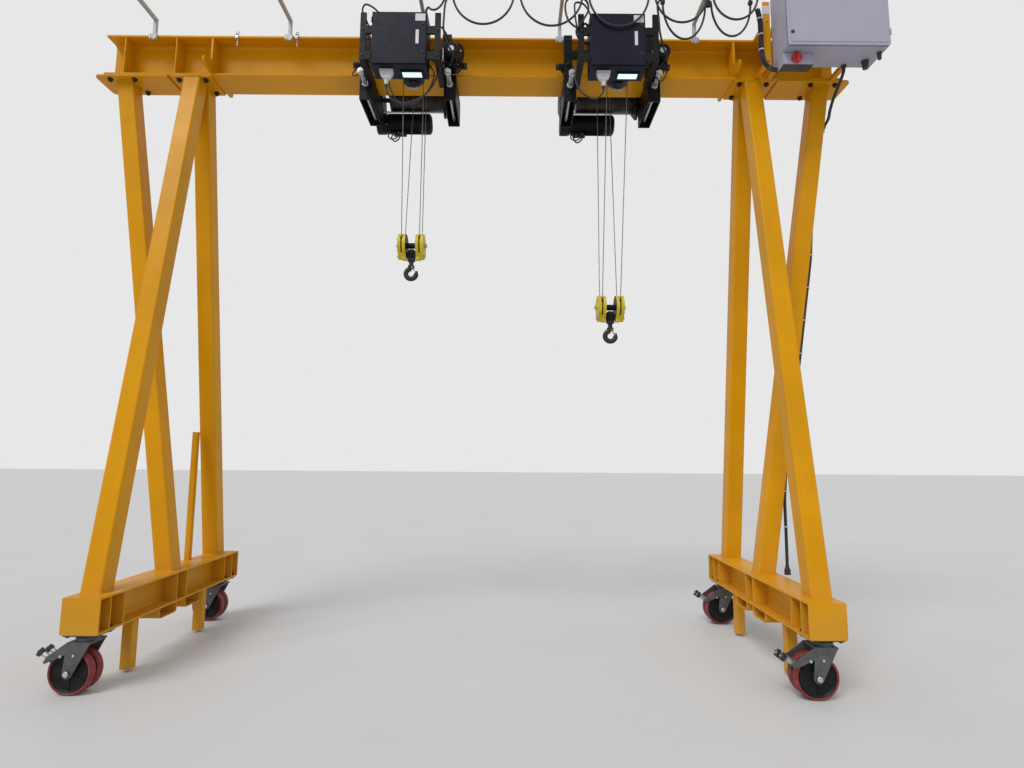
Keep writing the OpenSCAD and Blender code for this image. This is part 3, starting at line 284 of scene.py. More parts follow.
def hoist_paint():
    """Dark powder coat with a fine grain and a bloom of dust."""
    navy = tuple(bpy.context.scene.crane_finish.hoist)
    return coat(
        "hoist_paint", (3.0, 5.0, 0.6), tint(navy, 0.75), tint(navy, 1.35),
        film=((11.0, 8.0, 0.72), 0.52, 0.82, 0.16, (0.034, 0.034, 0.044)),
        gloss=((16.0, 5.0), 0.36, 0.54), grain=(520.0, 0.12, 0.0005), Specular_IOR_Level=0.16)


def machine_black():
    """Black enamel of the trolley frames, motors and gearboxes, with thin grease and dust."""
    return coat(
        "machine_black", (6.0, 6.0, 0.65), (0.0032, 0.0032, 0.0040), (0.0090, 0.0090, 0.0100),
        film=((13.0, 8.0, 0.72), 0.55, 0.80, 0.30, (0.040, 0.036, 0.032)),
        gloss=((24.0, 5.0), 0.34, 0.58), grain=((160.0, 4.0, 0.6), 0.12, 0.0006), Specular_IOR_Level=0.18)


def forged_black():
    """Forged steel under thin black paint, rubbed bright where slings run."""
    f = Finish("forged_black")
    base = f.blend(f.range(f.noise(26.0, 6.0, 0.65), 0.4, 0.7), (0.009, 0.009, 0.011), (0.024, 0.023, 0.023))
    worn = f.range(f.noise(60.0, 7.0, 0.7), 0.62, 0.72)
    base = f.blend(f.math("MULTIPLY", worn, 0.5), base, (0.16, 0.15, 0.14))
    rough = f.range(f.noise(40.0, 4.0), 0.3, 0.7, 0.38, 0.62)
    scale = f.bump(f.noise(110.0, 5.0, 0.6), 0.30, 0.0012)
    return f.surface(Base_Color=base, Roughness=rough, Metallic=f.math("MULTIPLY", worn, 0.7), Normal=scale)


def turned_steel():
    """Turned steel with fine tool marks, grease film and light tarnish."""
    f = Finish("turned_steel")
    base = f.blend(f.range(f.noise(14.0, 6.0, 0.65), 0.35, 0.7), (0.30, 0.30, 0.31), (0.47, 0.47, 0.48))
    grease = f.range(f.noise(22.0, 5.0, 0.7), 0.56, 0.72, 0.0, 0.55)
    base = f.blend(grease, base, (0.10, 0.085, 0.06))
    marks = f.bump(f.bands(260.0, "X", bend=1.2), 0.12, 0.0004)
    rough = f.range(f.noise(30.0, 4.0), 0.3, 0.7, 0.26, 0.44)
    return f.surface(Base_Color=base, Roughness=rough, Metallic=0.85, Normal=marks)


def wound_drum():
    """Rope drum under dark grease, darkened further as painted shade from under the girder."""
    return coat(
        "wound_drum", (16.0, 6.0, 0.65), (0.020, 0.019, 0.018), (0.062, 0.058, 0.053),
        gloss=((30.0, 4.0), 0.34, 0.52), grain=((140.0, 4.0), 0.2, 0.0006), Metallic=0.5)


def wire_rope():
    """Greased wire rope with slanting strands."""
    f = Finish("wire_rope")
    strand = f.bands(95.0, "DIAGONAL", f.stretch((1.0, 1.0, 0.55)))
    base = f.blend(strand, (0.130, 0.125, 0.118), (0.52, 0.51, 0.50))
    base = f.blend(f.range(f.noise(5.0, 5.0), 0.45, 0.75, 0.0, 0.35), base, (0.18, 0.15, 0.11))
    return f.surface(Base_Color=base, Roughness=0.38, Metallic=0.8, Normal=f.bump(strand, 0.5, 0.0012))


def caster_grey():
    """Passivated and grey painted caster housings."""
    return coat(
        "caster_grey", (18.0, 6.0, 0.65), (0.066, 0.070, 0.072), (0.112, 0.117, 0.119),
        film=((30.0, 7.0, 0.7), 0.55, 0.75, 0.6, (0.045, 0.038, 0.030)),
        gloss=((40.0, 4.0), 0.34, 0.58), grain=((240.0, 3.0), 0.12, 0.0006), Metallic=0.2)


def tread_rubber():
    """Polyurethane tread, dusty and scuffed where it runs."""
    tread = tuple(bpy.context.scene.crane_finish.tread)
    return coat(
        "tread_rubber", (12.0, 5.0, 0.6), tint(tread, 0.75), tint(tread, 1.25),
        film=((28.0, 8.0, 0.72), 0.48, 0.74, 0.42, (0.24, 0.17, 0.14)),
        gloss=((22.0, 4.0), 0.42, 0.66), grain=((150.0, 4.0, 0.6), 0.18, 0.0008))


def dipped_zinc():
    """Dipped zinc with its spangle."""
    f = Finish("dipped_zinc")
    spangle = f.cells(58.0)
    base = f.blend(f.range(spangle, 0.1, 0.8), (0.36, 0.37, 0.38), (0.47, 0.48, 0.49))
    base = f.blend(f.range(f.noise(6.0, 6.0), 0.45, 0.75, 0.0, 0.4), base, (0.30, 0.30, 0.29))
    rough = f.range(spangle, 0.1, 0.8, 0.48, 0.62)
    return f.surface(Base_Color=base, Roughness=rough, Metallic=0.4, Normal=f.bump(f.noise(90.0, 3.0), 0.08, 0.0005))


def cabinet_polyester():
    """Moulded polyester cabinet with a fine leather grain."""
    grey = tuple(bpy.context.scene.crane_finish.cabinet)
    return coat(
        "cabinet_polyester", (2.5, 5.0, 0.6), tint(grey, 0.94), tint(grey, 1.04),
        film=((14.0, 8.0, 0.7), 0.52, 0.80, 0.25, (0.36, 0.34, 0.32)),
        gloss=((20.0, 4.0), 0.42, 0.56), grain=(380.0, 0.14, 0.0007))


def switch_plastic():
    """Moulded dark switch housing."""
    return coat(
        "switch_plastic", (12.0, 5.0), (0.022, 0.022, 0.024), (0.050, 0.050, 0.053),
        gloss=0.48, grain=(450.0, 0.15, 0.0006))


def cable_rubber():
    """Dusty rubber cable sheath."""
    return coat(
        "cable_rubber", (35.0, 6.0, 0.65), (0.010, 0.010, 0.011), (0.045, 0.044, 0.042), span=(0.4, 0.75),
        gloss=((50.0, 4.0), 0.46, 0.68), grain=((300.0, 3.0), 0.12, 0.0005))


def bright_zinc():
    """Zinc plated steel with dulled patches."""
    return coat(
        "bright_zinc", (45.0, 5.0, 0.6), (0.44, 0.45, 0.47), (0.62, 0.63, 0.65),
        film=((70.0, 6.0, 0.7), 0.55, 0.75, 0.6, (0.20, 0.19, 0.17)),
        gloss=((55.0, 4.0), 0.24, 0.44), grain=((300.0, 2.0), 0.08, 0.0004), Metallic=0.75)


def wheel_centre():
    """Cast wheel centre under dark grey paint."""
    return coat(
        "wheel_centre", (24.0, 6.0, 0.65), (0.0038, 0.0039, 0.0043), (0.0105, 0.0106, 0.0112),
        film=((38.0, 7.0, 0.7), 0.58, 0.80, 0.28, (0.060, 0.050, 0.042)),
        gloss=((40.0, 4.0), 0.44, 0.66), grain=((190.0, 4.0, 0.6), 0.22, 0.0008), Specular_IOR_Level=0.25)


def grip_plastic():
    """Black moulded grips of the brake screws."""
    return coat(
        "grip_plastic", (30.0, 5.0), (0.010, 0.010, 0.011), (0.028, 0.028, 0.029),
        gloss=0.42, grain=(600.0, 0.12, 0.0005))


def pale_plastic():
    """Off-white plastic, a little yellowed."""
    return coat(
        "pale_plastic", (20.0, 5.0), (0.58, 0.58, 0.60), (0.68, 0.68, 0.69),
        gloss=0.46, grain=((260.0, 2.0), 0.05, 0.0004))


def bolt_black():
    """Black structural bolts with a first bloom of rust."""
    f = Finish("bolt_black")
    base = f.blend(f.range(f.noise(60.0, 5.0, 0.6), 0.35, 0.7), (0.014, 0.012, 0.012), (0.036, 0.030, 0.028))
    rust = f.range(f.noise(95.0, 7.0, 0.7), 0.52, 0.70, 0.0, 0.7)
    base = f.blend(rust, base, (0.095, 0.030, 0.012))
    rough = f.range(rust, 0.0, 0.7, 0.42, 0.78)
    return f.surface(Base_Color=base, Roughness=rough, Metallic=0.3, Normal=f.bump(f.noise(280.0, 4.0), 0.2, 0.0006))


def block_yellow():
    """Lighter yellow enamel of the hook blocks, chipped at random."""
    return coat(
        "block_yellow", (9.0, 5.0, 0.6), (0.56, 0.42, 0.012), (0.70, 0.56, 0.030),
        film=((75.0, 6.0, 0.7), 0.66, 0.72, 0.8, (0.08, 0.07, 0.06)),
        gloss=((24.0, 4.0), 0.30, 0.46), grain=((320.0, 2.0, 0.5), 0.10, 0.0006), Specular_IOR_Level=0.3)


def knob_red():
    """Moulded red plastic."""
    return coat(
        "knob_red", (26.0, 5.0), (0.42, 0.020, 0.016), (0.56, 0.030, 0.022),
        gloss=0.38, grain=((240.0, 2.0), 0.05, 0.0004))


def lamp_glow():
    """Frosted lens over a cool white lamp that is lit."""
    f = Finish("lamp_glow")
    glow = f.blend(f.range(f.bands(31.0, "X"), 0.2, 0.8), (0.50, 0.80, 0.92), (0.74, 0.94, 1.0))
    return f.surface(Base_Color=glow, Roughness=0.30, Emission_Color=glow, Emission_Strength=0.9)


FINISHES = {
    "yellow_paint": signal_paint,
    "navy_paint": hoist_paint,
    "hook_black": forged_black,
    "machined_steel": turned_steel,
    "rope_steel": wire_rope,
    "caster_steel": caster_grey,
    "red_tread": tread_rubber,
    "galvanised": dipped_zinc,
    "cabinet_grey": cabinet_polyester,
    "switch_black": switch_plastic,
    "cable_black": cable_rubber,
}
EXTRAS = {maker.__name__: maker for maker in (
    bright_zinc, wheel_centre, grip_plastic, pale_plastic, knob_red, lamp_glow, switch_plastic, machine_black,
    bolt_black, block_yellow, cabinet_polyester, wound_drum)}


def finish(name):
    """Material of a slot or of a small piece, made at its first use."""
    maker = FINISHES.get(name) or EXTRAS[name]
    return bpy.data.materials.get(maker.__name__) or maker()


# Meshes

AXES = {"X": Vector(RIGHT), "Y": Vector(BACK), "Z": Vector(UP)}
BEAD_STEP = 0.012
SHARP, SHARP_NODE, FLAT = math.radians(35), math.radians(30), math.radians(0.4)


def smooth(mesh, angle=math.radians(32)):
    mesh.polygons.foreach_set("use_smooth", [True] * len(mesh.polygons))
    mesh.set_sharp_from_angle(angle=angle)


def settle(obj, body, slot, *nodes):
    """Puts a finished piece on its body and hides the nodes it stands for; the slot is not used."""
    bpy.context.scene.collection.objects.link(obj)
    weighted = obj.modifiers.new("even_normals", "WEIGHTED_NORMAL")
    weighted.keep_sharp = True
    if body:
        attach(obj, body)
    if nodes:
        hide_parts(*nodes)
    return obj


def along(at, way):
    """Places a shape drawn up Z at a point, pointing the given way."""
    return Matrix.Translation(at) @ Vector(way).to_track_quat("Z", "Y").to_matrix().to_4x4()


def course(points, steps=6):
    """A smooth line through the points, also where they stand at uneven distances."""
    points = [Vector(p) for p in points]
    gaps = [(b - a).length for a, b in zip(points, points[1:])]
    slopes = [(b - a) / gap for a, b, gap in zip(points, points[1:], gaps)]
    turns = [slopes[0]] + [
        (before * after_gap + after * before_gap) / (before_gap + after_gap)
        for before, after, before_gap, after_gap in zip(slopes, slopes[1:], gaps, gaps[1:])] + [slopes[-1]]
    line = []
    for a, b, gap, leave, reach in zip(points, points[1:], gaps, turns, turns[1:]):
        for k in range(steps):
            t = k / steps
            line.append(
                (2 * t**3 - 3 * t**2 + 1) * a + (t**3 - 2 * t**2 + t) * gap * leave
                + (3 * t**2 - 2 * t**3) * b + (t**3 - t**2) * gap * reach)
    return line + [points[-1]]


def circle(middle, radius, count, plane, offset=0.0, closed=False):
    """Points round a middle in the plane of two axes, with the first one offset by a share of a step."""
    across, up = (AXES[axis] for axis in plane)
    turns = (math.tau * (k + offset) / count for k in range(count + closed))
    return [Vector(middle) + radius * (math.cos(turn) * across + math.sin(turn) * up) for turn in turns]


def tube_mesh(points, radius, fineness=3):
    """Closed round tube along a line of points."""
    curve = bpy.data.curves.new("tube", "CURVE")
    curve.dimensions = "3D"
    curve.bevel_depth = radius
    curve.bevel_resolution = fineness
    curve.use_fill_caps = True
    spline = curve.splines.new("POLY")
    spline.points.add(len(points) - 1)
    for point, place in zip(spline.points, points):
        point.co = (*place, 1.0)
    holder = bpy.data.objects.new("tube", curve)
    mesh = bpy.data.meshes.new_from_object(holder)
    bpy.data.objects.remove(holder)
    bpy.data.curves.remove(curve)
    return mesh


class Shape:
    """A mesh in the making that several solids are joined in."""

    def __init__(self):
        self.bm = bmesh.new()

    def soften(self, verts, width, segments=2):
        """Bevels the sharp edges between the given vertices."""
        verts = set(verts)
        edges = [e for e in self.bm.edges
                 if e.verts[0] in verts and e.verts[1] in verts and e.calc_face_angle(0.0) > SHARP]
        bmesh.ops.bevel(
            self.bm, geom=edges, offset=width, offset_type="OFFSET", segments=segments, profile=0.5,
            affect="EDGES", clamp_overlap=True, material=-1)

    def block(self, low, high, edge=0.0015):
        low, high = Vector(low), Vector(high)
        made = bmesh.ops.create_cube(
            self.bm, size=1.0,
            matrix=Matrix.Translation((low + high) / 2) @ Matrix.Diagonal((*(high - low), 1.0)))
        self.soften(made["verts"], edge)
        return self

    def rod(self, start, end, radius, tip=None, sides=24, edge=0.0):
        """Round bar or cone from one point to another."""
        start, end = Vector(start), Vector(end)
        made = bmesh.ops.create_cone(
            self.bm, cap_ends=True, segments=sides, radius1=radius,
            radius2=radius if tip is None else tip, depth=(end - start).length,
            matrix=along((start + end) / 2, end - start))
        if edge:
            self.soften(made["verts"], edge, 1)
        return self

    def nut(self, at, way, across, height):
        """Hexagon nut or bolt head that stands on a face."""
        way = Vector(way).normalized()
        return self.rod(at, Vector(at) + way * height, across / math.sqrt(3), sides=6, edge=across * 0.05)

    def bolt(self, at, way, shank):
        """Washer, hexagon and bolt end that stand on a face."""
        way, at = Vector(way).normalized(), Vector(at)
        self.rod(at, at + way * shank * 0.16, shank, sides=18)
        self.nut(at + way * shank * 0.16, way, shank * 1.5, shank * 0.75)
        return self.rod(at, at + way * shank * 1.2, shank / 2, sides=12, edge=shank * 0.08)

    def turned(self, at, way, profile, sides=32):
        """Turned piece from radius and height pairs that start and end on the axis."""
        bm = bmesh.new()
        verts = [bm.verts.new((r, 0.0, h)) for r, h in profile]
        edges = [bm.edges.new(pair) for pair in zip(verts, verts[1:])]
        bmesh.ops.spin(
            bm, geom=verts + edges, cent=(0, 0, 0), axis=(0, 0, 1), dvec=(0, 0, 0), angle=math.tau,
            steps=sides, use_merge=True)
        bmesh.ops.remove_doubles(bm, verts=bm.verts, dist=1e-6)
        bmesh.ops.recalc_face_normals(bm, faces=bm.faces)
        bmesh.ops.transform(bm, matrix=along(at, way), verts=bm.verts)
        return self.add(bm)

    def add(self, bm):
        mesh = bpy.data.meshes.new("shape")
        bm.to_mesh(mesh)
        bm.free()
        return self.take(mesh)

    def take(self, mesh):
        self.bm.from_mesh(mesh)
        bpy.data.meshes.remove(mesh)
        return self

    def tube(self, points, radius, fineness=2):
        return self.take(tube_mesh(points, radius, fineness))

    def seam(self, start, end, steps, radius):
        """Straight weld bead."""
        start, end = Vector(start), Vector(end)
        return self.tube([start.lerp(end, k / steps) for k in range(steps + 1)], radius, 1)

    def frame(self, middle, half_x, half_y, radius):
        """Weld bead round a level rectangle."""
        x, y, z = middle
        corners = [Vector((x + a * half_x, y + b * half_y, z)) for a, b in ((-1, -1), (1, -1), (1, 1), (-1, 1))]
        for a, b in zip(corners, corners[1:] + corners[:1]):
            self.seam(a, b, max(2, int((b - a).length / BEAD_STEP)), radius)

    def piece(self, name, slot, body, *nodes, skin=None):
        mesh = bpy.data.meshes.new(name)
        self.bm.to_mesh(mesh)
        self.bm.free()
        smooth(mesh)
        mesh.materials.append(finish(skin or slot))
        return settle(bpy.data.objects.new(name, mesh), body, slot, *nodes)


def dress(node, edge, zones=(), cuts=(), skin=None):
    """A copy of a CAD node with its flat faces joined and its edges rounded. Each zone is a test on
    a corner and the finish of the faces whose corners all pass it. Each cut is a place along X where
    faces are parted first."""
    bm = bmesh.new()
    bm.from_mesh(frame["nodes"][node].data)
    bmesh.ops.remove_doubles(bm, verts=bm.verts, dist=2e-5)
    bmesh.ops.dissolve_limit(bm, angle_limit=FLAT, verts=bm.verts, edges=bm.edges)
    sharp = [e for e in bm.edges if len(e.link_faces) == 2 and e.calc_face_angle(0.0) > SHARP_NODE]
    bmesh.ops.bevel(
        bm, geom=sharp, offset=edge, offset_type="OFFSET", segments=2, profile=0.5, affect="EDGES",
        clamp_overlap=True, material=-1)
    for x in cuts:
        bmesh.ops.bisect_plane(
            bm, geom=bm.verts[:] + bm.edges[:] + bm.faces[:], dist=1e-6, plane_co=(x, 0, 0), plane_no=(1, 0, 0))
    for face in bm.faces:
        for index, (test, _) in enumerate(zones, 1):
            if all(test(v.co) for v in face.verts):
                face.material_index = index
    mesh = bpy.data.meshes.new(node + "_surface")
    bm.to_mesh(mesh)
    bm.free()
    smooth(mesh)
    mesh.materials.append(finish(skin or SLOT_OF[node]))
    for _, name in zones:
        mesh.materials.append(finish(name))
    return settle(bpy.data.objects.new(node + "_surface", mesh), BODY_OF[node], SLOT_OF[node], node)


# Cables

def arc(middle, across, down, start, end, steps):
    """Part of an ellipse that stands along X, from one angle to another."""
    angles = (math.radians(start + (end - start) * k / steps) for k in range(steps + 1))
    return [Vector((middle[0] + across * math.cos(a), middle[1], middle[2] + down * math.sin(a))) for a in angles]


def festoon_route(carriers, y, sags):
    """Half ellipses between the carriers, with a small arc over each carrier."""
    z = RAIL_Z - CARRIER_DROP
    route = []
    for index, (x0, x1, sag) in enumerate(zip(carriers, carriers[1:], sags)):
        route += arc(((x0 + x1) / 2, y, z), (x1 - x0) / 2 - SADDLE_R, sag, 180, 360, 28)
        if index < len(sags) - 1:
            route += arc((x1, y, z), SADDLE_R, SADDLE_R, 180, 0, 10)[1:-1]
    return route


FESTOONS = {
    "left": ([HOISTS["left"] + 0.420, 0.400, 0.980, 1.540, 2.030, 2.460], [0.290, 0.300, 0.300, 0.260, 0.230]),
    "right": ([HOISTS["right"] + 0.380, 2.050, 2.440], [0.330, 0.300]),
}


def supply_route():
    """Points of the lead from the cabinet's gland to the foot of the outer leg, along its face."""
    slope = (OUTER_HEAD_X - OUTER_FOOT_X) / (LEG_TOP - CARRIAGE_TOP)
    out = (LEG_HALF + 0.013 + 0.0008) * math.sqrt(1 + slope * slope)

    def leg_line(z):
        return OUTER_FOOT_X + slope * (z - CARRIAGE_TOP) + out

    return [
        (LEAD_X, LEAD_Y, 5.0197), (LEAD_X, LEAD_Y, 4.980), (3.236, -0.408, 4.930), (3.232, -0.340, 4.870),
        (3.236, -0.250, 4.815), (3.254, -0.160, 4.770), (leg_line(4.730) + 0.005, -0.080, 4.730),
        *((leg_line(z), -0.045, z) for z in (4.700, 3.400, 2.200, 1.300)),
        (leg_line(1.300) - 0.004, -0.048, 1.000), (leg_line(1.300) - 0.008, -0.051, CARRIAGE_TOP + 0.030)]


# Short cables of the hoists, in millimetres from the middle of each trolley: points and radius
LEADS = {
    "both": [
        ([(-240, 445, 4868), (-262, 460, 4820), (-232, 462, 4785), (-190, 455, 4805), (-172, 440, 4868)], 6.5),
        ([(-275, 440, 4875), (-296, 450, 4835), (-262, 446, 4800), (-205, 440, 4815), (-186, 430, 4872)], 6),
        ([(-150, -450, 5355), (-155, -430, 5405), (-170, -330, 5420), (-190, -250, 5380),
          (-200, -240, 5290)], 6.5),
        ([(376, -350, 5085), (352, -360, 5060), (300, -380, 5040), (262, -400, 5060), (236, -430, 5070)], 6.5),
        ([(236, -500, 5300), (262, -495, 5300), (330, -470, 5330), (372, -430, 5300), (398, -372, 5240),
          (406, -345, 5212)], 7),
    ],
    "left": [
        ([(-113, -534, 4745), (-108, -532, 4700), (-70, -528, 4628), (19, -522, 4588), (119, -510, 4618),
          (209, -490, 4688), (281, -470, 4803), (310, -450, 4930), (272, -440, 5060), (236, -440, 5120)], 7.5),
        ([(-104, -505, 4866), (-96, -498, 4780), (-20, -470, 4640), (90, -450, 4625), (195, -430, 4720),
          (262, -420, 4850), (270, -410, 4950), (236, -420, 5000)], 6),
        ([(190, -500, 5355), (194, -510, 5410), (228, -560, 5440), (262, -600, 5392), (300, -620, 5374),
          (338, -622, 5400), (380, -630, 5470), (404, -634, 5512)], 8.5),
        ([(412, -630, 5514), (386, -622, 5440), (374, -612, 5324), (374, -600, 5186), (398, -560, 5110),
          (440, -500, 5060), (420, -410, 5052), (400, -360, 5060)], 8.5),
        ([(-234, -500, 5240), (-262, -520, 5260), (-300, -570, 5330), (-320, -600, 5380), (-300, -590, 5440),
          (-230, -540, 5440), (-190, -520, 5400), (-186, -520, 5357)], 7.5),
        ([(-234, -440, 5000), (-270, -400, 5000), (-330, -330, 5080), (-400, -300, 5010), (-455, -290, 4990),
          (-480, -250, 5040), (-452, -232, 5090), (-425, -226, 5090)], 6),
    ],
    "right": [
        ([(-113, -534, 4745), (-118, -530, 4700), (-173, -515, 4650), (-255, -500, 4682), (-322, -480, 4773),
          (-345, -460, 4892), (-300, -440, 5020), (-234, -450, 5080)], 7.5),
        ([(372, -612, 5505), (350, -608, 5470), (352, -600, 5320), (362, -590, 5200), (400, -540, 5110),
          (440, -480, 5060), (420, -410, 5052), (400, -360, 5060)], 8.5),
        ([(-234, -520, 5300), (-258, -545, 5310), (-300, -600, 5250), (-350, -618, 5226), (-404, -616, 5270),
          (-440, -612, 5372), (-430, -600, 5480), (-350, -570, 5545), (-270, -590, 5500), (-246, -612, 5400),
          (-290, -622, 5290), (-350, -600, 5200), (-300, -540, 5150), (-234, -500, 5160)], 8.5),
        ([(-330, -560, 5210), (-344, -590, 5254), (-360, -600, 5373), (-350, -580, 5480), (-280, -540, 5500),
          (-215, -500, 5430), (-205, -480, 5357)], 7.5),
        ([(448, -330, 5075), (480, -345, 5040), (462, -365, 4969), (424, -380, 4905), (396, -400, 4885),
          (352, -420, 4930), (300, -430, 4990), (236, -440, 5020)], 6.5),
    ],
}


# Operators

class CRANE_OT_cords(bpy.types.Operator):
    """Hangs the festoon cables in their carriers and lays the lead along the outer leg"""
    bl_idname = "crane.cords"
    bl_label = "Lay Cables"

    def execute(self, context):
        for side, (carriers, sags) in FESTOONS.items():
            self.festoon(side, carriers, RAIL_Y[side], sags)
        self.lead()
        return {"FINISHED"}

    def cable(self, name, node, route, radius, fineness, body=None):
        mesh = tube_mesh(route, radius, fineness)
        mesh.name = name
        smooth(mesh, math.radians(60))
        mesh.materials.append(finish("cable_black"))
        return settle(bpy.data.objects.new(name, mesh), body, "cable_black", node)

    def festoon(self, side, carriers, y, sags):
        route = festoon_route(carriers, y, sags)
        lead = self.cable(f"{side}_festoon_lead", f"{side}_festoon_cable", route, 0.009, 4)
        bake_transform(lead)
        z = RAIL_Z - CARRIER_DROP
        hangers = Shape()
        for index, x in enumerate(carriers):
            if index in (0, len(carriers) - 1):
                x += SADDLE_R if index == 0 else -SADDLE_R
                hangers.block((x - 0.018, y - 0.014, z - 0.004), (x + 0.018, y + 0.014, z + 0.026), 0.003)
            else:
                hangers.turned((x, y - 0.014, z), BACK, [
                    (0, 0), (0.026, 0), (0.030, 0.003), (0.026, 0.007), (0.0165, 0.009), (0.0165, 0.019),
                    (0.026, 0.021), (0.030, 0.025), (0.026, 0.028), (0, 0.028)], 28)
                hangers.block((x - 0.012, y - 0.005, z + 0.010), (x + 0.012, y + 0.005, z + 0.040), 0.002)
            hangers.block((x - 0.010, y - 0.003, z + 0.020), (x + 0.010, y + 0.003, RAIL_Z + 0.016), 0.001)
            hangers.nut((x, y - 0.014, z + 0.010), FRONT, 0.010, 0.005)
            for way in SIDES:
                hangers.turned((x, y + way * 0.0035, RAIL_Z + 0.0153), (0, way, 0), [
                    (0, 0), (0.0115, 0), (0.012, 0.001), (0.012, 0.006), (0.011, 0.007), (0.005, 0.0075),
                    (0, 0.0075)], 24)
        carried = hangers.piece(f"{side}_cable_carriers", "cable_black", None, skin="switch_plastic")
        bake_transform(carried)

    def lead(self):
        route = course(supply_route(), 5)
        lead = self.cable("outer_leg_lead", "supply_cable", route, 0.013, 5, "crane")
        foot = Vector(route[-1])
        coupling = Shape().turned(foot + Vector((0, 0, 0.050)), DOWN, [
            (0, 0), (0.0150, 0), (0.0165, 0.012), (0.0150, 0.016), (0.0200, 0.022), (0.0235, 0.036),
            (0.0235, 0.058), (0.0260, 0.060), (0.0260, 0.076), (0, 0.076)], 36)
        for rib in circle(foot, 0.0236, 12, "XY"):
            coupling.rod(rib + Vector((0, 0, 0.014)), rib - Vector((0, 0, 0.006)), 0.0016, sides=8)
        plug = coupling.piece("lead_coupling", "switch_black", "crane")
        self.ties([p for p in route if 0.9 < p.z < 4.72])

    def ties(self, route):
        ties = Shape()
        for z in (1.05 + 0.30 * k for k in range(13)):
            upper = min((p for p in route if p.z >= z), key=lambda p: p.z, default=None)
            lower = max((p for p in route if p.z < z), key=lambda p: p.z, default=None)
            if upper and lower:
                at = lower.lerp(upper, (z - lower.z) / (upper.z - lower.z))
                way = (upper - lower).normalized()
                ring = [along(at, way) @ p for p in circle((0, 0, 0), 0.0145, 16, "XY", closed=True)]
                for lift in (-0.003, 0.0, 0.003):
                    ties.tube([p + way * lift for p in ring], 0.0022, 1)
                ties.block(at + Vector((0.011, -0.006, -0.005)), at + Vector((0.021, 0.004, 0.005)), 0.001)
        ties.piece("lead_ties", "cabinet_grey", "crane", skin="pale_plastic")


class CRANE_OT_frame(bpy.types.Operator):
    """Rounds the edges of the girder, the side frames and the other rigid nodes"""
    bl_idname = "crane.frame"
    bl_label = "Dress Frame"

    def execute(self, context):
        edge = context.scene.crane_detail.edge
        for node in frame["nodes"]:
            if not node.endswith(("_ropes", "_cable")):
                dress(node, min(edge, THIN_EDGES.get(node, edge)), self.zones(node), self.cuts(node), self.skin(node))
        return {"FINISHED"}

    def cuts(self, node):
        if node.endswith("hook_block"):
            hook = HOOKS[node.split("_")[0]][0]
            return [hook - 0.0440, hook + 0.0440]
        return []

    def skin(self, node):
        if node.endswith("hook_block"):
            return "block_yellow"
        # The drum's dark grease colour is partly painted shade from under the girder
        if node.endswith("drum"):
            return "wound_drum"
        if SLOT_OF[node] == "navy_paint" and not node.endswith("control_box"):
            return "machine_black"
        return None

    def zones(self, node):
        side, *rest = node.split("_")
        corner = "_".join((side, *rest[:1]))
        if corner in CASTERS:
            x, y = CASTERS[corner]
            axle = Vector((x - CASTER_TRAIL, y, WHEEL_R))
            if node.endswith("wheels"):
                return [(lambda p: math.hypot(p.x - x + CASTER_TRAIL, p.z - WHEEL_R) < WHEEL_R - 0.0165,
                         "wheel_centre")]
            return [(lambda p: 0.158 < (p - axle).dot(BRAKE_LEAN) < 0.2425 and abs(p.y - y) < 0.058, "bright_zinc"),
                    (lambda p: (p - axle).dot(BRAKE_LEAN) > 0.2412, "grip_plastic")]
        if node.endswith("trolley_frame"):
            x = HOISTS[side]
            return [(lambda p: min(math.hypot(p.x - x - at, p.z - YOKE_Z) for at in YOKE_X) < 0.0225, "bright_zinc"),
                    (lambda p: math.hypot(p.y - 0.335, p.z - 5.021) < 0.009, "bright_zinc")]
        if node.endswith("hook_block"):
            hook = HOOKS[side][0]
            return [(lambda p: abs(p.x - hook) < 0.0441, "bright_zinc"),
                    (lambda p: 0.0439 < abs(p.x - hook) < 0.0456, "machine_black")]
        if node.endswith("control_box"):
            x = HOISTS[side] + PLUG_X
            return [(lambda p: abs(p.x - x) < 0.060 and abs(p.y - PLUG_Y) < 0.030 and p.z < BOX_LOW + 0.0005,
                     "pale_plastic")]
        if node == "main_switch":
            return [(lambda p: p.z > 4.9160, "cabinet_polyester"),
                    (lambda p: p.y < -0.5995 and math.hypot(p.x - SWITCH_X, p.z - SWITCH_Z) < 0.044, "knob_red")]
        return []


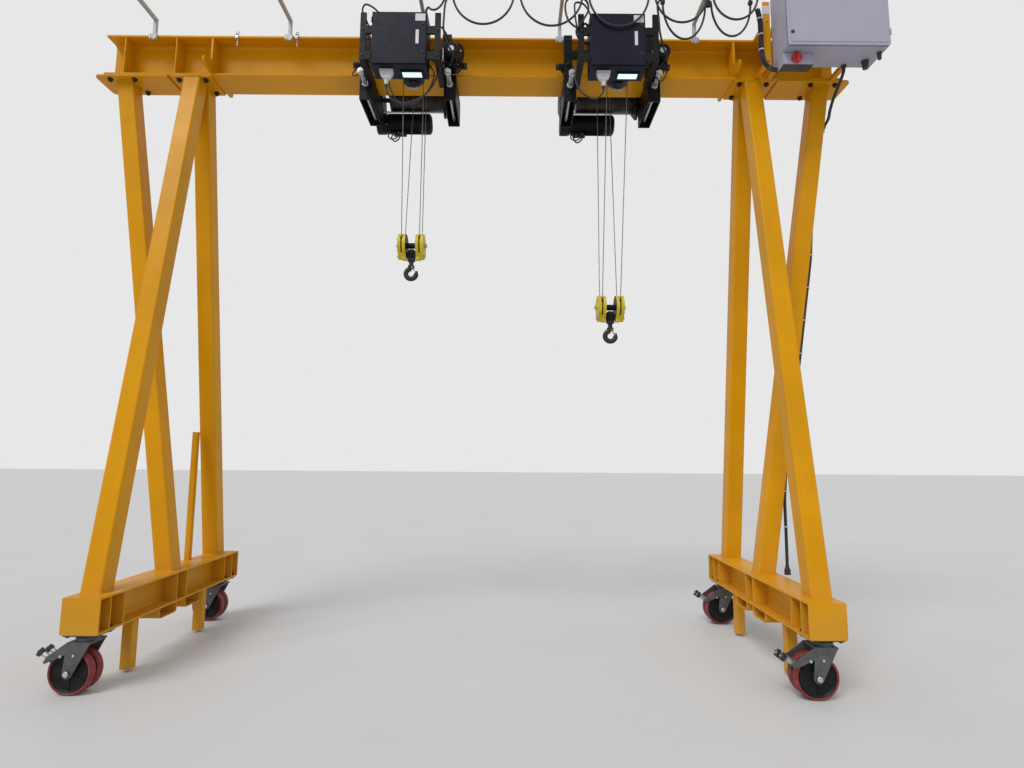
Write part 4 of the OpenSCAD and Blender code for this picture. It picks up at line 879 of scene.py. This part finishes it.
class CRANE_OT_bolts(bpy.types.Operator):
    """Bolts on the side frames, the casters and the rail arms, and sets the beam clamps"""
    bl_idname = "crane.bolts"
    bl_label = "Set Bolts"

    def execute(self, context):
        self.joints(context.scene.crane_detail.bolt)
        self.rail_clamps()
        self.beam_clamps()
        return {"FINISHED"}

    def joints(self, shank):
        head = Shape()
        for end, x, y in product(SIDES, HEAD_BOLT_X, SIDES):
            at = (end * x, y * HEAD_BOLT_Y)
            head.bolt((*at, LEG_TOP), DOWN, shank)
            head.rod((*at, GIRDER_LOW + 0.019), (*at, GIRDER_LOW + 0.022), shank)
            head.nut((*at, GIRDER_LOW + 0.022), UP, shank * 1.5, shank * 0.62)
        head.piece("head_bolts", "galvanised", "crane", skin="bolt_black")
        foot = Shape()
        for (x, y), dx, dy in product(CASTERS.values(), SIDES, SIDES):
            at = (x + dx * 0.095, y + dy * 0.075)
            foot.nut((*at, CARRIAGE_LOW - 0.012), DOWN, 0.024, 0.011)
            foot.bolt((*at, CARRIAGE_LOW + 0.013), UP, 0.016)
        foot.piece("caster_bolts", "galvanised", "crane", skin="bolt_black")

    def rail_clamps(self):
        clamp = Shape()
        for x in RAIL_ARM_X:
            for dx in SIDES:
                clamp.bolt((x + dx * 0.024, -0.110, GIRDER_HIGH + 0.012), UP, 0.010)
                clamp.bolt((x + dx * 0.022, -0.162, GIRDER_HIGH - 0.030), FRONT, 0.010)
            for y in RAIL_Y.values():
                clamp.block((x - 0.020, y - 0.016, RAIL_Z + 0.034), (x - 0.0152, y + 0.016, RAIL_Z + 0.058), 0.0012)
                clamp.nut((x - 0.020, y, RAIL_Z + 0.050), (-1, 0, 0), 0.013, 0.006)
        clamp.piece("rail_clamp_bolts", "galvanised", "crane", skin="bright_zinc")

    def beam_clamps(self):
        """Small clamps on the upper flange, each with an eye."""
        clamp = Shape()
        for x in (-2.179, -1.627):
            for back, low, high in ((-0.1495, -0.026, 0.012), (-0.122, -0.0005, 0.012), (-0.122, -0.030, -0.0185)):
                clamp.block((x - 0.014, -0.162, GIRDER_HIGH + low), (x + 0.014, back, GIRDER_HIGH + high), 0.002)
            y = -0.142
            clamp.nut((x, y, GIRDER_HIGH + 0.012), UP, 0.017, 0.010)
            clamp.rod((x, y, GIRDER_HIGH - 0.098), (x, y, GIRDER_HIGH - 0.020), 0.005, sides=16, edge=0.0008)
            clamp.nut((x, y, GIRDER_HIGH - 0.030), DOWN, 0.017, 0.008)
            clamp.tube(circle((x, y, GIRDER_HIGH + 0.034), 0.013, 20, "XZ", closed=True), 0.0036, 2)
        clamp.piece("beam_clamps", "galvanised", "crane", skin="bright_zinc")


class CRANE_OT_welds(bpy.types.Operator):
    """Lays weld beads round the ends of the legs and along the stiffeners"""
    bl_idname = "crane.welds"
    bl_label = "Lay Welds"

    def execute(self, context):
        radius = context.scene.crane_detail.weld
        self.legs(radius)
        self.stiffeners(radius * 0.7)
        return {"FINISHED"}

    def legs(self, radius):
        rise = LEG_TOP - CARRIAGE_TOP
        sloped = LEG_HALF * math.sqrt(1 + (LEG_FOOT_Y / rise) ** 2)
        tilted = LEG_HALF * math.sqrt(1 + ((OUTER_HEAD_X - OUTER_FOOT_X) / rise) ** 2) + 0.0015
        straight, low, high = LEG_HALF + 0.0015, CARRIAGE_TOP + 0.001, LEG_TOP - 0.001
        beads = Shape()
        for end in SIDES:
            for side in SIDES:
                beads.frame((end * LEG_X, side * LEG_FOOT_Y, low), straight, sloped + 0.0015, radius)
                beads.frame((end * LEG_X, side * (sloped + 0.002), high), straight, sloped + 0.0015, radius)
            beads.frame((end * OUTER_FOOT_X, 0.0, low), tilted, straight, radius)
            beads.frame((end * OUTER_HEAD_X, 0.0, high), tilted, straight, radius)
        beads.piece("leg_welds", "yellow_paint", "crane")

    def stiffeners(self, radius):
        beads = Shape()
        for end, x, side, face in product(SIDES, STIFFENER_X, SIDES, SIDES):
            at = end * x + face * (0.010 if x == THICK_STIFFENER_X else 0.006)
            beads.seam((at, side * 0.0065, 5.135), (at, side * 0.0065, 5.415), 24, radius)
            for z in (5.0995, 5.4505):
                beads.seam((at, side * 0.040, z), (at, side * 0.144, z), 10, radius)
        beads.piece("stiffener_welds", "yellow_paint", "crane")


class CRANE_OT_casters(bpy.types.Operator):
    """Adds the axle nuts, the threads of the brake screws and the wheel ribs of the casters"""
    bl_idname = "crane.casters"
    bl_label = "Finish Casters"

    def execute(self, context):
        for corner, (x, y) in CASTERS.items():
            axle = Vector((x - CASTER_TRAIL, y, WHEEL_R))
            self.fork(corner, axle)
            self.hubs(corner, axle)
        return {"FINISHED"}

    def fork(self, corner, axle):
        iron = Shape()
        for side in SIDES:
            out = Vector((0, side, 0))
            iron.nut(axle + out * 0.0875, out, 0.036, 0.016)
            iron.rod(axle, axle + out * 0.1025, 0.011, sides=20, edge=0.001)
            for dx, dz in ((-0.052, 0.112), (0.036, 0.118)):
                iron.nut(axle + Vector((dx, side * 0.0875, dz)), out, 0.017, 0.007)
        for side in SIDES:
            screw = axle + Vector((0, side * 0.034, 0))
            for k in range(7):
                start = screw + BRAKE_LEAN * (0.166 + 0.0035 * k)
                iron.rod(start, start + BRAKE_LEAN * 0.002, 0.0105, sides=20)
            iron.nut(screw + BRAKE_LEAN * 0.228, BRAKE_LEAN, 0.026, 0.010)
            iron.nut(screw + BRAKE_LEAN * 0.266, BRAKE_LEAN, 0.016, 0.007)
        iron.piece(f"{corner}_fork_fasteners", "caster_steel", f"{corner}_caster", skin="bright_zinc")

    def hubs(self, corner, axle):
        hub = Shape()
        for wheel, face in product(SIDES, SIDES):
            mid = axle + Vector((0, wheel * 0.037 + face * 0.0178, 0))
            for inner, outer in zip(circle(mid, 0.044, 6, "XZ", 0.5), circle(mid, 0.117, 6, "XZ", 0.5)):
                hub.rod(inner, outer, 0.0060, 0.0045, sides=12)
        hub.piece(f"{corner}_hub_ribs", "caster_steel", f"{corner}_wheel_pair", skin="wheel_centre")


class CRANE_OT_ropes(bpy.types.Operator):
    """Lays the stranded wire rope falls between the trolleys and the hook blocks"""
    bl_idname = "crane.ropes"
    bl_label = "Reeve Ropes"

    def execute(self, context):
        for side, hoist in HOISTS.items():
            hook, top = HOOKS[side]
            low = top - 0.079
            rear = [((hook + way * 0.060, 0.2412, 5.155), (hook + way * ROPE_X, 0.083, low)) for way in SIDES]
            front = [((hoist + SHEAVE_X + way * 0.092, -0.210, 5.020), (hook + way * ROPE_X, -0.083, low))
                     for way in SIDES]
            for name, falls in (("ropes", rear), ("sheave_ropes", front)):
                rope = Shape()
                for upper, lower in falls:
                    rope.add(self.laid(Vector(lower), Vector(upper)))
                piece = rope.piece(f"{side}_laid_{name}", "rope_steel", None, f"{side}_{name}")
                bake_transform(piece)
        return {"FINISHED"}

    def laid(self, start, end):
        """Six strands round a core, as one fluted line turned and drawn out along the rope."""
        strands, around, radius, pitch = 6, 24, 0.0044, 0.058
        length = (end - start).length
        bm = bmesh.new()
        ring = []
        for k in range(around):
            turn = math.tau * k / around
            r = radius * (1.0 - 0.13 * abs(math.sin(strands * turn / 2)))
            ring.append(bm.verts.new((r * math.cos(turn), r * math.sin(turn), 0.0)))
        edges = [bm.edges.new((a, b)) for a, b in zip(ring, ring[1:] + ring[:1])]
        steps = int(length / 0.008)
        bmesh.ops.spin(
            bm, geom=ring + edges, cent=(0, 0, 0), axis=UP, dvec=(0, 0, length / steps),
            angle=math.tau * length / pitch, steps=steps, use_merge=False)
        bmesh.ops.holes_fill(bm, edges=[e for e in bm.edges if e.is_boundary], sides=0)
        bmesh.ops.recalc_face_normals(bm, faces=bm.faces)
        bmesh.ops.transform(bm, matrix=along(start, end - start), verts=bm.verts)
        return bm


class CRANE_OT_blocks(bpy.types.Operator):
    """Adds the cover bolts, dark strips painted as the shade in the sheave gaps, the swivel nut and the latch of the
    hooks
    """
    bl_idname = "crane.blocks"
    bl_label = "Finish Hooks"

    def execute(self, context):
        for side, (hook, top) in HOOKS.items():
            self.block(side, hook, top)
            self.latch(side, hook, top)
        return {"FINISHED"}

    def block(self, side, hook, top):
        mid = top - BLOCK_AXLE_DROP
        iron = Shape()
        for way in SIDES:
            out, face = (way, 0, 0), hook + way * HOOK_CHEEK
            iron.nut((hook + way * 0.127, 0, mid), out, 0.030, 0.0125)
            for y, z in ((0.078, mid + 0.040), (-0.078, mid + 0.040), (0.062, mid - 0.060), (-0.062, mid - 0.060)):
                iron.nut((face, y, z), out, 0.013, 0.006)
            iron.nut((face, 0, top - SWIVEL_DROP), out, 0.030, 0.012)
        iron.piece(f"{side}_block_bolts", "machined_steel", f"{side}_block", skin="bright_zinc")
        # Dark strips on the sheave rims: painted shade that stands for the gaps round the sheaves
        gap = Shape()
        for rope, turn in product(SIDES, SIDES):
            rim = [Vector((hook + rope * ROPE_X, turn * 0.1045 * math.cos(a), mid + 0.1045 * math.sin(a)))
                   for a in (math.radians(-52 + 6 * k) for k in range(18))]
            for across in (-0.0045, -0.0015, 0.0015, 0.0045):
                gap.tube([p + Vector((across, 0, 0)) for p in rim], 0.0018, 1)
        gap.piece(f"{side}_sheave_gap_shade", "hook_black", f"{side}_block", skin="machine_black")

    def latch(self, side, hook, top):
        body = f"{side}_swivel_hook"
        neck = Shape().nut((hook, 0, top - SWIVEL_DROP + 0.0523), UP, 0.046, 0.012)
        neck.piece(f"{side}_swivel_nut", "machined_steel", body, skin="bright_zinc")
        gate = Shape()
        pivot, tip = Vector((hook + 0.010, 0, top - 0.311)), Vector((hook + 0.047, 0, top - 0.361))
        for way in SIDES:
            gate.tube([pivot + Vector((0, way * 0.0245, 0)), pivot.lerp(tip, 0.5) + Vector((0.003, way * 0.016, 0)),
                       tip + Vector((0, way * 0.006, 0))], 0.0032, 2)
            gate.rod(pivot + Vector((0, way * 0.018, 0)), pivot + Vector((0, way * 0.029, 0)), 0.0065,
                     sides=20, edge=0.0008)
        gate.rod(pivot - Vector((0, 0.028, 0)), pivot + Vector((0, 0.028, 0)), 0.0035, sides=14)
        gate.block(tip - Vector((0.004, 0.010, 0.004)), tip + Vector((0.004, 0.010, 0.006)), 0.0015)
        gate.piece(f"{side}_hook_latch", "machined_steel", body, skin="bright_zinc")


class CRANE_OT_hoists(bpy.types.Operator):
    """Adds the doors, lamps, plugs, covers, bolts and short cables of the trolleys"""
    bl_idname = "crane.hoists"
    bl_label = "Finish Hoists"

    def execute(self, context):
        for side, x in HOISTS.items():
            for step in (self.box, self.lamp, self.plug, self.covers, self.drive_bolts, self.yokes, self.cables):
                step(side, f"{side}_trolley", x)
        return {"FINISHED"}

    def box(self, side, body, x):
        face, edge = BOX_FRONT - 0.010, x - BOX_HALF + 0.002
        door = Shape().block((x - BOX_HALF + 0.006, face, BOX_LOW + 0.006),
                             (x + BOX_HALF - 0.006, BOX_FRONT + 0.004, BOX_TOP - 0.006), 0.004)
        for z in (BOX_LOW + 0.080, BOX_TOP - 0.080):
            door.rod((edge, face, z - 0.024), (edge, face, z + 0.024), 0.0065, sides=16, edge=0.001)
        door.piece(f"{side}_box_door", "navy_paint", body)
        trim = Shape()
        for z in (BOX_LOW + 0.110, BOX_TOP - 0.110):
            at = Vector((x + BOX_HALF - 0.034, face, z))
            trim.turned(at, FRONT, [(0, 0), (0.013, 0), (0.013, 0.003), (0.009, 0.006), (0, 0.006)], 24)
            trim.block(at + Vector((-0.002, -0.008, -0.008)), at + Vector((0.002, -0.005, 0.008)), 0.0006)
        for dx, y in product(SIDES, (-0.590, -0.434)):
            trim.nut((x + dx * 0.205, y, BOX_LOW), DOWN, 0.010, 0.004)
        trim.piece(f"{side}_box_locks", "machined_steel", body, skin="bolt_black")
        plates = Shape()
        for left, right, low, high in ((0.134, 0.219, 5.270, 5.335), (0.140, 0.166, 5.063, 5.189)):
            plates.block((x + left, BOX_FRONT - 0.0112, low), (x + right, BOX_FRONT - 0.0098, high), 0.0004)
        plates.piece(f"{side}_box_plates", "cabinet_grey", body, skin="pale_plastic")

    def lamp(self, side, body, x):
        lens = Shape().block((x + 0.016, -0.522, BOX_LOW - 0.0125), (x + 0.179, -0.458, BOX_LOW - 0.0095), 0.001)
        lens.piece(f"{side}_lamp_lens", "cabinet_grey", body, skin="lamp_glow")
        screws = Shape()
        for at in (x + 0.034 + 0.032 * k for k in range(5)):
            screws.rod((at, -0.530, BOX_LOW - 0.010), (at, -0.530, BOX_LOW - 0.012), 0.003, sides=12)
        screws.piece(f"{side}_lamp_screws", "machined_steel", body, skin="bright_zinc")

    def plug(self, side, body, x):
        x, y = x + PLUG_X, PLUG_Y
        hood = Shape().block((x - 0.058, y - 0.027, BOX_LOW - 0.014), (x + 0.058, y + 0.027, BOX_LOW - 0.0005), 0.003)
        for half, low in ((0.052, 0.050), (0.044, 0.066)):
            hood.block((x - half, y - 0.0250, BOX_LOW - low), (x + half, y - 0.0225, BOX_LOW - low + 0.006), 0.001)
        hood.turned((x, y, BOX_LOW - 0.084), DOWN, [
            (0, 0), (0.0185, 0), (0.0185, 0.012), (0.0165, 0.014), (0.0175, 0.018), (0.0175, 0.038), (0.0120, 0.046),
            (0, 0.046)], 28)
        hood.piece(f"{side}_plug_hood", "cabinet_grey", body, skin="pale_plastic")
        levers = Shape()
        bends = ((-0.052, 0.025, 0.036), (-0.056, 0.026, 0.020), (0.056, 0.026, 0.020), (0.052, 0.025, 0.036))
        for dy in SIDES:
            levers.tube([(x + dx, y + dy * out, BOX_LOW - drop) for dx, out, drop in bends], 0.0022, 2)
        levers.piece(f"{side}_plug_levers", "machined_steel", body, skin="bright_zinc")

    def covers(self, side, body, x):
        covers = Shape()
        motor = Vector((x + 0.137, MOTOR_Y, MOTOR_Z))
        for k in range(6):
            covers.tube(circle(motor + Vector((0.0012, 0, 0)), 0.018 + 0.012 * k, 32, "YZ", closed=True), 0.0016, 1)
        grille = motor + Vector((0.001, 0, 0))
        for inner, outer in zip(circle(grille, 0.012, 8, "YZ"), circle(grille, 0.079, 8, "YZ")):
            covers.rod(inner, outer, 0.0014, sides=8)
        covers.turned(motor, RIGHT, [(0, 0), (0.014, 0), (0.012, 0.004), (0, 0.005)], 24)
        lid = Vector((x - 0.2647, MOTOR_Y + 0.134, MOTOR_Z))
        covers.block(lid + Vector((0.004, -0.002, -0.058)), lid + Vector((0.126, 0.008, 0.044)), 0.004)
        cap = self.travel_cap(x)
        covers.turned(cap, FRONT, [
            (0, 0), (0.066, 0), (0.067, 0.003), (0.060, 0.011), (0.034, 0.013), (0.030, 0.010), (0, 0.010)], 40)
        for turn in (math.radians(-125 + 31 * k) for k in range(9)):
            rib = cap + 0.0628 * Vector((math.cos(turn), 0, math.sin(turn)))
            covers.rod(rib + Vector((0, 0.052, 0)), rib + Vector((0, 0.128, 0)), 0.0045, sides=10)
        covers.piece(f"{side}_drive_covers", "navy_paint", body, skin="machine_black")

    def travel_cap(self, x):
        """Middle of the travel motor's fan cover."""
        return Vector((x + 0.420, -0.4454, 5.143))

    def drive_bolts(self, side, body, x):
        iron = Shape()
        gear_face = (x + 0.3204, DRUM_Y, DRUM_Z)
        for at in circle((x - 0.3252, DRUM_Y, DRUM_Z), 0.092, 8, "YZ"):
            iron.nut(at, RIGHT, 0.013, 0.007)
        for at in circle((x - 0.3050, MOTOR_Y, MOTOR_Z), 0.092, 6, "YZ", 0.5):
            iron.nut(at, RIGHT, 0.012, 0.006)
        for at in circle(gear_face, 0.085, 6, "YZ", 0.5):
            iron.nut(at, RIGHT, 0.013, 0.006)
        iron.turned(gear_face, RIGHT, [(0, 0), (0.040, 0), (0.040, 0.004), (0.034, 0.008), (0, 0.008)], 32)
        iron.turned(self.travel_cap(x) + Vector((0, -0.010, 0)), FRONT, [
            (0, 0), (0.027, 0), (0.027, 0.0015), (0, 0.0015)], 32)
        for dx, z in ((0.418, 5.072), (0.470, 5.105), (0.400, 5.220), (0.490, 5.235), (0.448, 5.300)):
            iron.nut((x + dx, -0.2873, z), FRONT, 0.013, 0.007)
        iron.block((x + 0.342, -0.400, 5.060), (x + 0.352, -0.300, 5.185), 0.002)
        iron.piece(f"{side}_drive_bolts", "machined_steel", body, skin="bright_zinc")

    def yokes(self, side, body, x):
        dark = Shape()
        for dx, way in product((-0.382, 0.355), SIDES):
            dark.bolt((x + dx, way * CHEEK_Y, 5.154), (0, way, 0), 0.020)
        for dx, way in product((-0.400, -0.365, 0.336, 0.380), SIDES):
            dark.nut((x + dx, way * CHEEK_Y, 5.400), (0, way, 0), 0.018, 0.008)
        for dx, z in product((-0.308, 0.322), (4.970, 5.205)):
            dark.nut((x + dx, -0.6052, z), FRONT, 0.016, 0.007)
        dark.piece(f"{side}_frame_bolts", "machined_steel", body, skin="bolt_black")
        iron = Shape()
        for at in (x + dx for dx in YOKE_X):
            iron.nut((at, -0.424, YOKE_Z), BACK, 0.056, 0.020)
            iron.rod((at, -0.196, 4.868), (at, 0.196, 4.868), 0.016, sides=24)
            iron.rod((at, -0.4362, YOKE_Z), (at, -0.4395, YOKE_Z), 0.016, 0.013, sides=24)
            for y in (-0.398 + 0.006 * k for k in range(10)):
                iron.rod((at, y, YOKE_Z), (at, y + 0.003, YOKE_Z), 0.0209, sides=24)
            iron.nut((at, -0.2255, YOKE_Z), FRONT, 0.056, 0.020)
            iron.nut((at, CHEEK_Y, YOKE_Z), BACK, 0.056, 0.020)
        for dx in (0.036, 0.088):
            iron.nut((x + dx, -0.2392, 5.215), FRONT, 0.014, 0.006)
        iron.nut((x + SHEAVE_X, -0.2392, 5.020), FRONT, 0.026, 0.010)
        iron.piece(f"{side}_yoke_bolts", "machined_steel", body, skin="bright_zinc")
        stops = Shape()
        for (dx, way), y in product(((-0.490, 1), (0.540, -1)), SIDES):
            stops.turned((x + dx + way * 0.0005, y * 0.195, 5.155), (way, 0, 0), [
                (0, 0), (0.020, 0), (0.0285, 0.006), (0.0295, 0.022), (0, 0.022)], 28)
        stops.piece(f"{side}_buffers", "cable_black", body)

    def cables(self, side, body, x):
        leads, glands = Shape(), Shape()
        for points, radius in LEADS["both"] + LEADS[side]:
            line = course([(x + px / 1000, py / 1000, pz / 1000) for px, py, pz in points], 6)
            radius /= 1000
            leads.tube(line, radius, 3)
            for end, nearby in ((line[0], line[1]), (line[-1], line[-2])):
                way = (nearby - end).normalized()
                glands.nut(end, way, radius * 4.2, radius * 1.1)
                glands.rod(end + way * radius, end + way * radius * 3.0, radius * 1.8, radius * 1.3,
                           sides=20, edge=0.0006)
        leads.piece(f"{side}_box_leads", "cable_black", body)
        glands.piece(f"{side}_lead_glands", "switch_black", body)
        at = (x - 0.1125, PLUG_Y)
        collar = Shape().rod((*at, 4.752), (*at, 4.728), 0.0105, 0.0085, sides=20, edge=0.0008)
        collar.piece(f"{side}_lead_collar", "red_tread", body, skin="knob_red")


class CRANE_OT_cabinet(bpy.types.Operator):
    """Adds the locks, seal, glands, cable bundle and main switch of the control cabinet"""
    bl_idname = "crane.cabinet"
    bl_label = "Finish Cabinet"

    def execute(self, context):
        self.door()
        self.bundle()
        self.upright()
        self.switch()
        return {"FINISHED"}

    def door(self):
        left, right, low, high = CABINET_LEFT, CABINET_RIGHT, CABINET_LOW, CABINET_HIGH
        locks = Shape()
        for z in (low + 0.110, high - 0.110):
            at = Vector((left + 0.038, CABINET_FRONT - 0.0002, z))
            locks.turned(at, FRONT, [(0, 0), (0.016, 0), (0.016, 0.002), (0.012, 0.0045), (0, 0.0045)], 28)
            locks.block(at + Vector((-0.0025, -0.006, -0.009)), at + Vector((0.0025, -0.0035, 0.009)), 0.0008)
        locks.piece("door_locks", "switch_black", "door_leaf")
        seam = Shape()
        y = CABINET_FRONT + 0.0200
        for x0, z0, x1, z1 in ((left - 0.0008, low + 0.010, left + 0.002, high - 0.010),
                               (left + 0.010, low - 0.0008, right - 0.010, low + 0.002),
                               (left + 0.010, high - 0.002, right - 0.010, high)):
            seam.block((x0, y - 0.003, z0), (x1, y + 0.004, z1), 0.0006)
        seam.piece("cabinet_seal", "switch_black", "crane")
        glands = Shape()
        for x, y, r, drop in ((LEAD_X, LEAD_Y, 0.0175, 0.018), (3.392, -0.500, 0.024, 0.060),
                              (3.446, -0.612, 0.015, 0.052)):
            glands.nut((x, y, low + 0.0001), DOWN, r * 2.4, 0.010)
            glands.turned((x, y, low - 0.009), DOWN, [
                (0, 0), (r * 1.1, 0), (r * 1.15, drop * 0.3), (r * 0.98, drop), (0, drop)], 24)
        glands.piece("cabinet_glands", "switch_black", "crane")

    def bundle(self):
        leads, ties = Shape(), Shape()
        rise = [(2.500, -0.470, 5.530), (2.520, -0.465, 5.440), (2.528, -0.455, 5.300), (2.530, -0.450, 5.160),
                (2.548, -0.450, 5.060), (2.600, -0.460, 4.985), (2.650, -0.480, 4.960)]
        for k, (dx, dy) in enumerate(((0, 0), (0.017, 0.006), (-0.012, 0.012), (0.006, 0.020))):
            line = course([(x + dx, y + dy, z - 0.001 * k * i) for i, (x, y, z) in enumerate(rise)], 6)
            leads.tube(line, 0.0075, 3)
        for x, y, z in ((2.5215, -0.456, 5.440), (2.531, -0.443, 5.300), (2.533, -0.440, 5.160)):
            ties.rod((x, y, z - 0.004), (x, y, z + 0.004), 0.0245, sides=24)
        leads.piece("cabinet_leads", "cable_black", "crane")
        ties.piece("bundle_ties", "cabinet_grey", "crane", skin="pale_plastic")

    def upright(self):
        """Flat bar beside the cabinet that holds the cable bundle, on two arms from the girder."""
        bar = Shape().block((2.572, -0.412, 5.040), (2.632, -0.402, 5.640), 0.0015)
        nuts = Shape()
        for z in (5.0895, 5.4605):
            bar.block((2.584, -0.4025, z - 0.018), (2.620, -0.1495, z + 0.008), 0.0015)
            nuts.bolt((2.602, -0.412, z - 0.005), FRONT, 0.010)
        bar.piece("bundle_upright", "yellow_paint", "crane")
        tape = Shape().block((2.5695, -0.4145, 5.520), (2.6345, -0.3995, 5.600), 0.001)
        tape.piece("upright_tape", "cabinet_grey", "crane", skin="pale_plastic")
        nuts.piece("upright_bolts", "galvanised", "crane", skin="bright_zinc")

    def switch(self):
        left, low = CABINET_LEFT, CABINET_LOW
        at = Vector((SWITCH_X, -0.600, SWITCH_Z))
        plate = Shape().turned(at + Vector((0, 0.0006, 0)), FRONT, [
            (0, 0), (0.050, 0), (0.050, 0.002), (0.047, 0.0035), (0, 0.0035)], 40)
        plate.piece("switch_plate", "switch_black", "crane")
        knob = Shape().block(at + Vector((-0.010, -0.0405, -0.038)), at + Vector((0.010, -0.0260, 0.038)), 0.004)
        knob.piece("switch_handle", "red_tread", "crane", skin="knob_red")
        lid = Shape().block((left + 0.004, -0.6035, low - 0.101), (left + 0.251, -0.5990, low - 0.004), 0.002)
        for x, z in product((left + 0.016, left + 0.239), (low - 0.089, low - 0.016)):
            lid.turned((x, -0.6033, z), FRONT, [(0, 0), (0.005, 0), (0.004, 0.0022), (0, 0.0025)], 16)
        lid.piece("switch_lid", "cabinet_grey", "crane")


class CRANE_OT_stage(bpy.types.Operator):
    """Sets the floor, the sky, the lamps and the camera"""
    bl_idname = "crane.stage"
    bl_label = "Set Stage"

    def execute(self, context):
        self.floor(context)
        self.sky(context)
        self.lamps(context)
        self.camera(context)
        context.scene.view_settings.view_transform = "Standard"
        return {"FINISHED"}

    def floor(self, context):
        reach = 60.0
        bm = bmesh.new()
        bmesh.ops.create_grid(bm, x_segments=4, y_segments=4, size=reach)
        mesh = bpy.data.meshes.new("studio_floor")
        bm.to_mesh(mesh)
        bm.free()
        f = Finish("studio_floor")
        tone = tuple(context.scene.crane_stage.floor)
        base = f.blend(f.range(f.noise(0.7, 4.0), 0.3, 0.7), tint(tone, 0.98), tint(tone, 1.02))
        f.surface(Base_Color=base, Roughness=0.62)
        mesh.materials.append(f.material)
        floor = bpy.data.objects.new("studio_floor", mesh)
        context.scene.collection.objects.link(floor)

    def sky(self, context):
        world = bpy.data.worlds.new("studio_sky")
        world.use_nodes = True
        tree = world.node_tree
        light = tree.nodes["Background"]
        light.inputs["Color"].default_value = (1.0, 1.0, 1.0, 1.0)
        light.inputs["Strength"].default_value = context.scene.crane_stage.sky
        seen = tree.nodes.new("ShaderNodeBackground")
        seen.inputs["Color"].default_value = (0.80, 0.80, 0.80, 1.0)
        rays = tree.nodes.new("ShaderNodeLightPath")
        mixer = tree.nodes.new("ShaderNodeMixShader")
        tree.links.new(rays.outputs["Is Camera Ray"], mixer.inputs[0])
        tree.links.new(light.outputs[0], mixer.inputs[1])
        tree.links.new(seen.outputs[0], mixer.inputs[2])
        tree.links.new(mixer.outputs[0], tree.nodes["World Output"].inputs["Surface"])
        context.scene.world = world

    def lamps(self, context):
        key = bpy.data.lights.new("soft_key", "SUN")
        key.energy = context.scene.crane_stage.key
        key.angle = math.radians(28)
        lamp = bpy.data.objects.new("soft_key", key)
        lamp.rotation_euler = Vector((0.45, 0.75, -1.0)).to_track_quat("-Z", "Y").to_euler()
        context.scene.collection.objects.link(lamp)

    def camera(self, context):
        stage = context.scene.crane_stage
        data = bpy.data.cameras.new("photo_camera")
        data.lens = stage.lens
        data.sensor_width = 36.0
        camera = bpy.data.objects.new("photo_camera", data)
        level = math.radians(90) + stage.pitch
        camera.matrix_world = (
            Matrix.Translation(stage.eye)
            @ Matrix.Rotation(-stage.yaw, 4, "Z")
            @ Matrix.Rotation(level, 4, "X")
            @ Matrix.Rotation(stage.roll, 4, "Z"))
        context.scene.collection.objects.link(camera)
        context.scene.camera = camera


class CRANE_PT_panel(bpy.types.Panel):
    """Lists the settings and the operators of the crane"""
    bl_idname = "CRANE_PT_panel"
    bl_label = "Gantry Crane"
    bl_space_type = "VIEW_3D"
    bl_region_type = "UI"
    bl_category = "Crane"

    def draw(self, context):
        for group in ("crane_finish", "crane_detail", "crane_stage"):
            settings = getattr(context.scene, group)
            box = self.layout.box()
            for name in settings.__annotations__:
                box.prop(settings, name)
        for operator in STEPS:
            self.layout.operator(operator.bl_idname)


STEPS = (
    CRANE_OT_stage, CRANE_OT_cords, CRANE_OT_frame, CRANE_OT_ropes, CRANE_OT_bolts, CRANE_OT_welds,
    CRANE_OT_casters, CRANE_OT_blocks, CRANE_OT_hoists, CRANE_OT_cabinet)
GROUPS = {"crane_finish": CraneFinish, "crane_detail": CraneDetail, "crane_stage": CraneStage}


def register():
    for cls in (*GROUPS.values(), *STEPS, CRANE_PT_panel):
        bpy.utils.register_class(cls)
    for name, group in GROUPS.items():
        setattr(bpy.types.Scene, name, PointerProperty(type=group))


def unregister():
    for name in GROUPS:
        delattr(bpy.types.Scene, name)
    for cls in reversed((*GROUPS.values(), *STEPS, CRANE_PT_panel)):
        bpy.utils.unregister_class(cls)


def main():
    register()
    for operator in STEPS:
        family, name = operator.bl_idname.split(".")
        getattr(getattr(bpy.ops, family), name)()


if __name__ == "__main__":
    main()
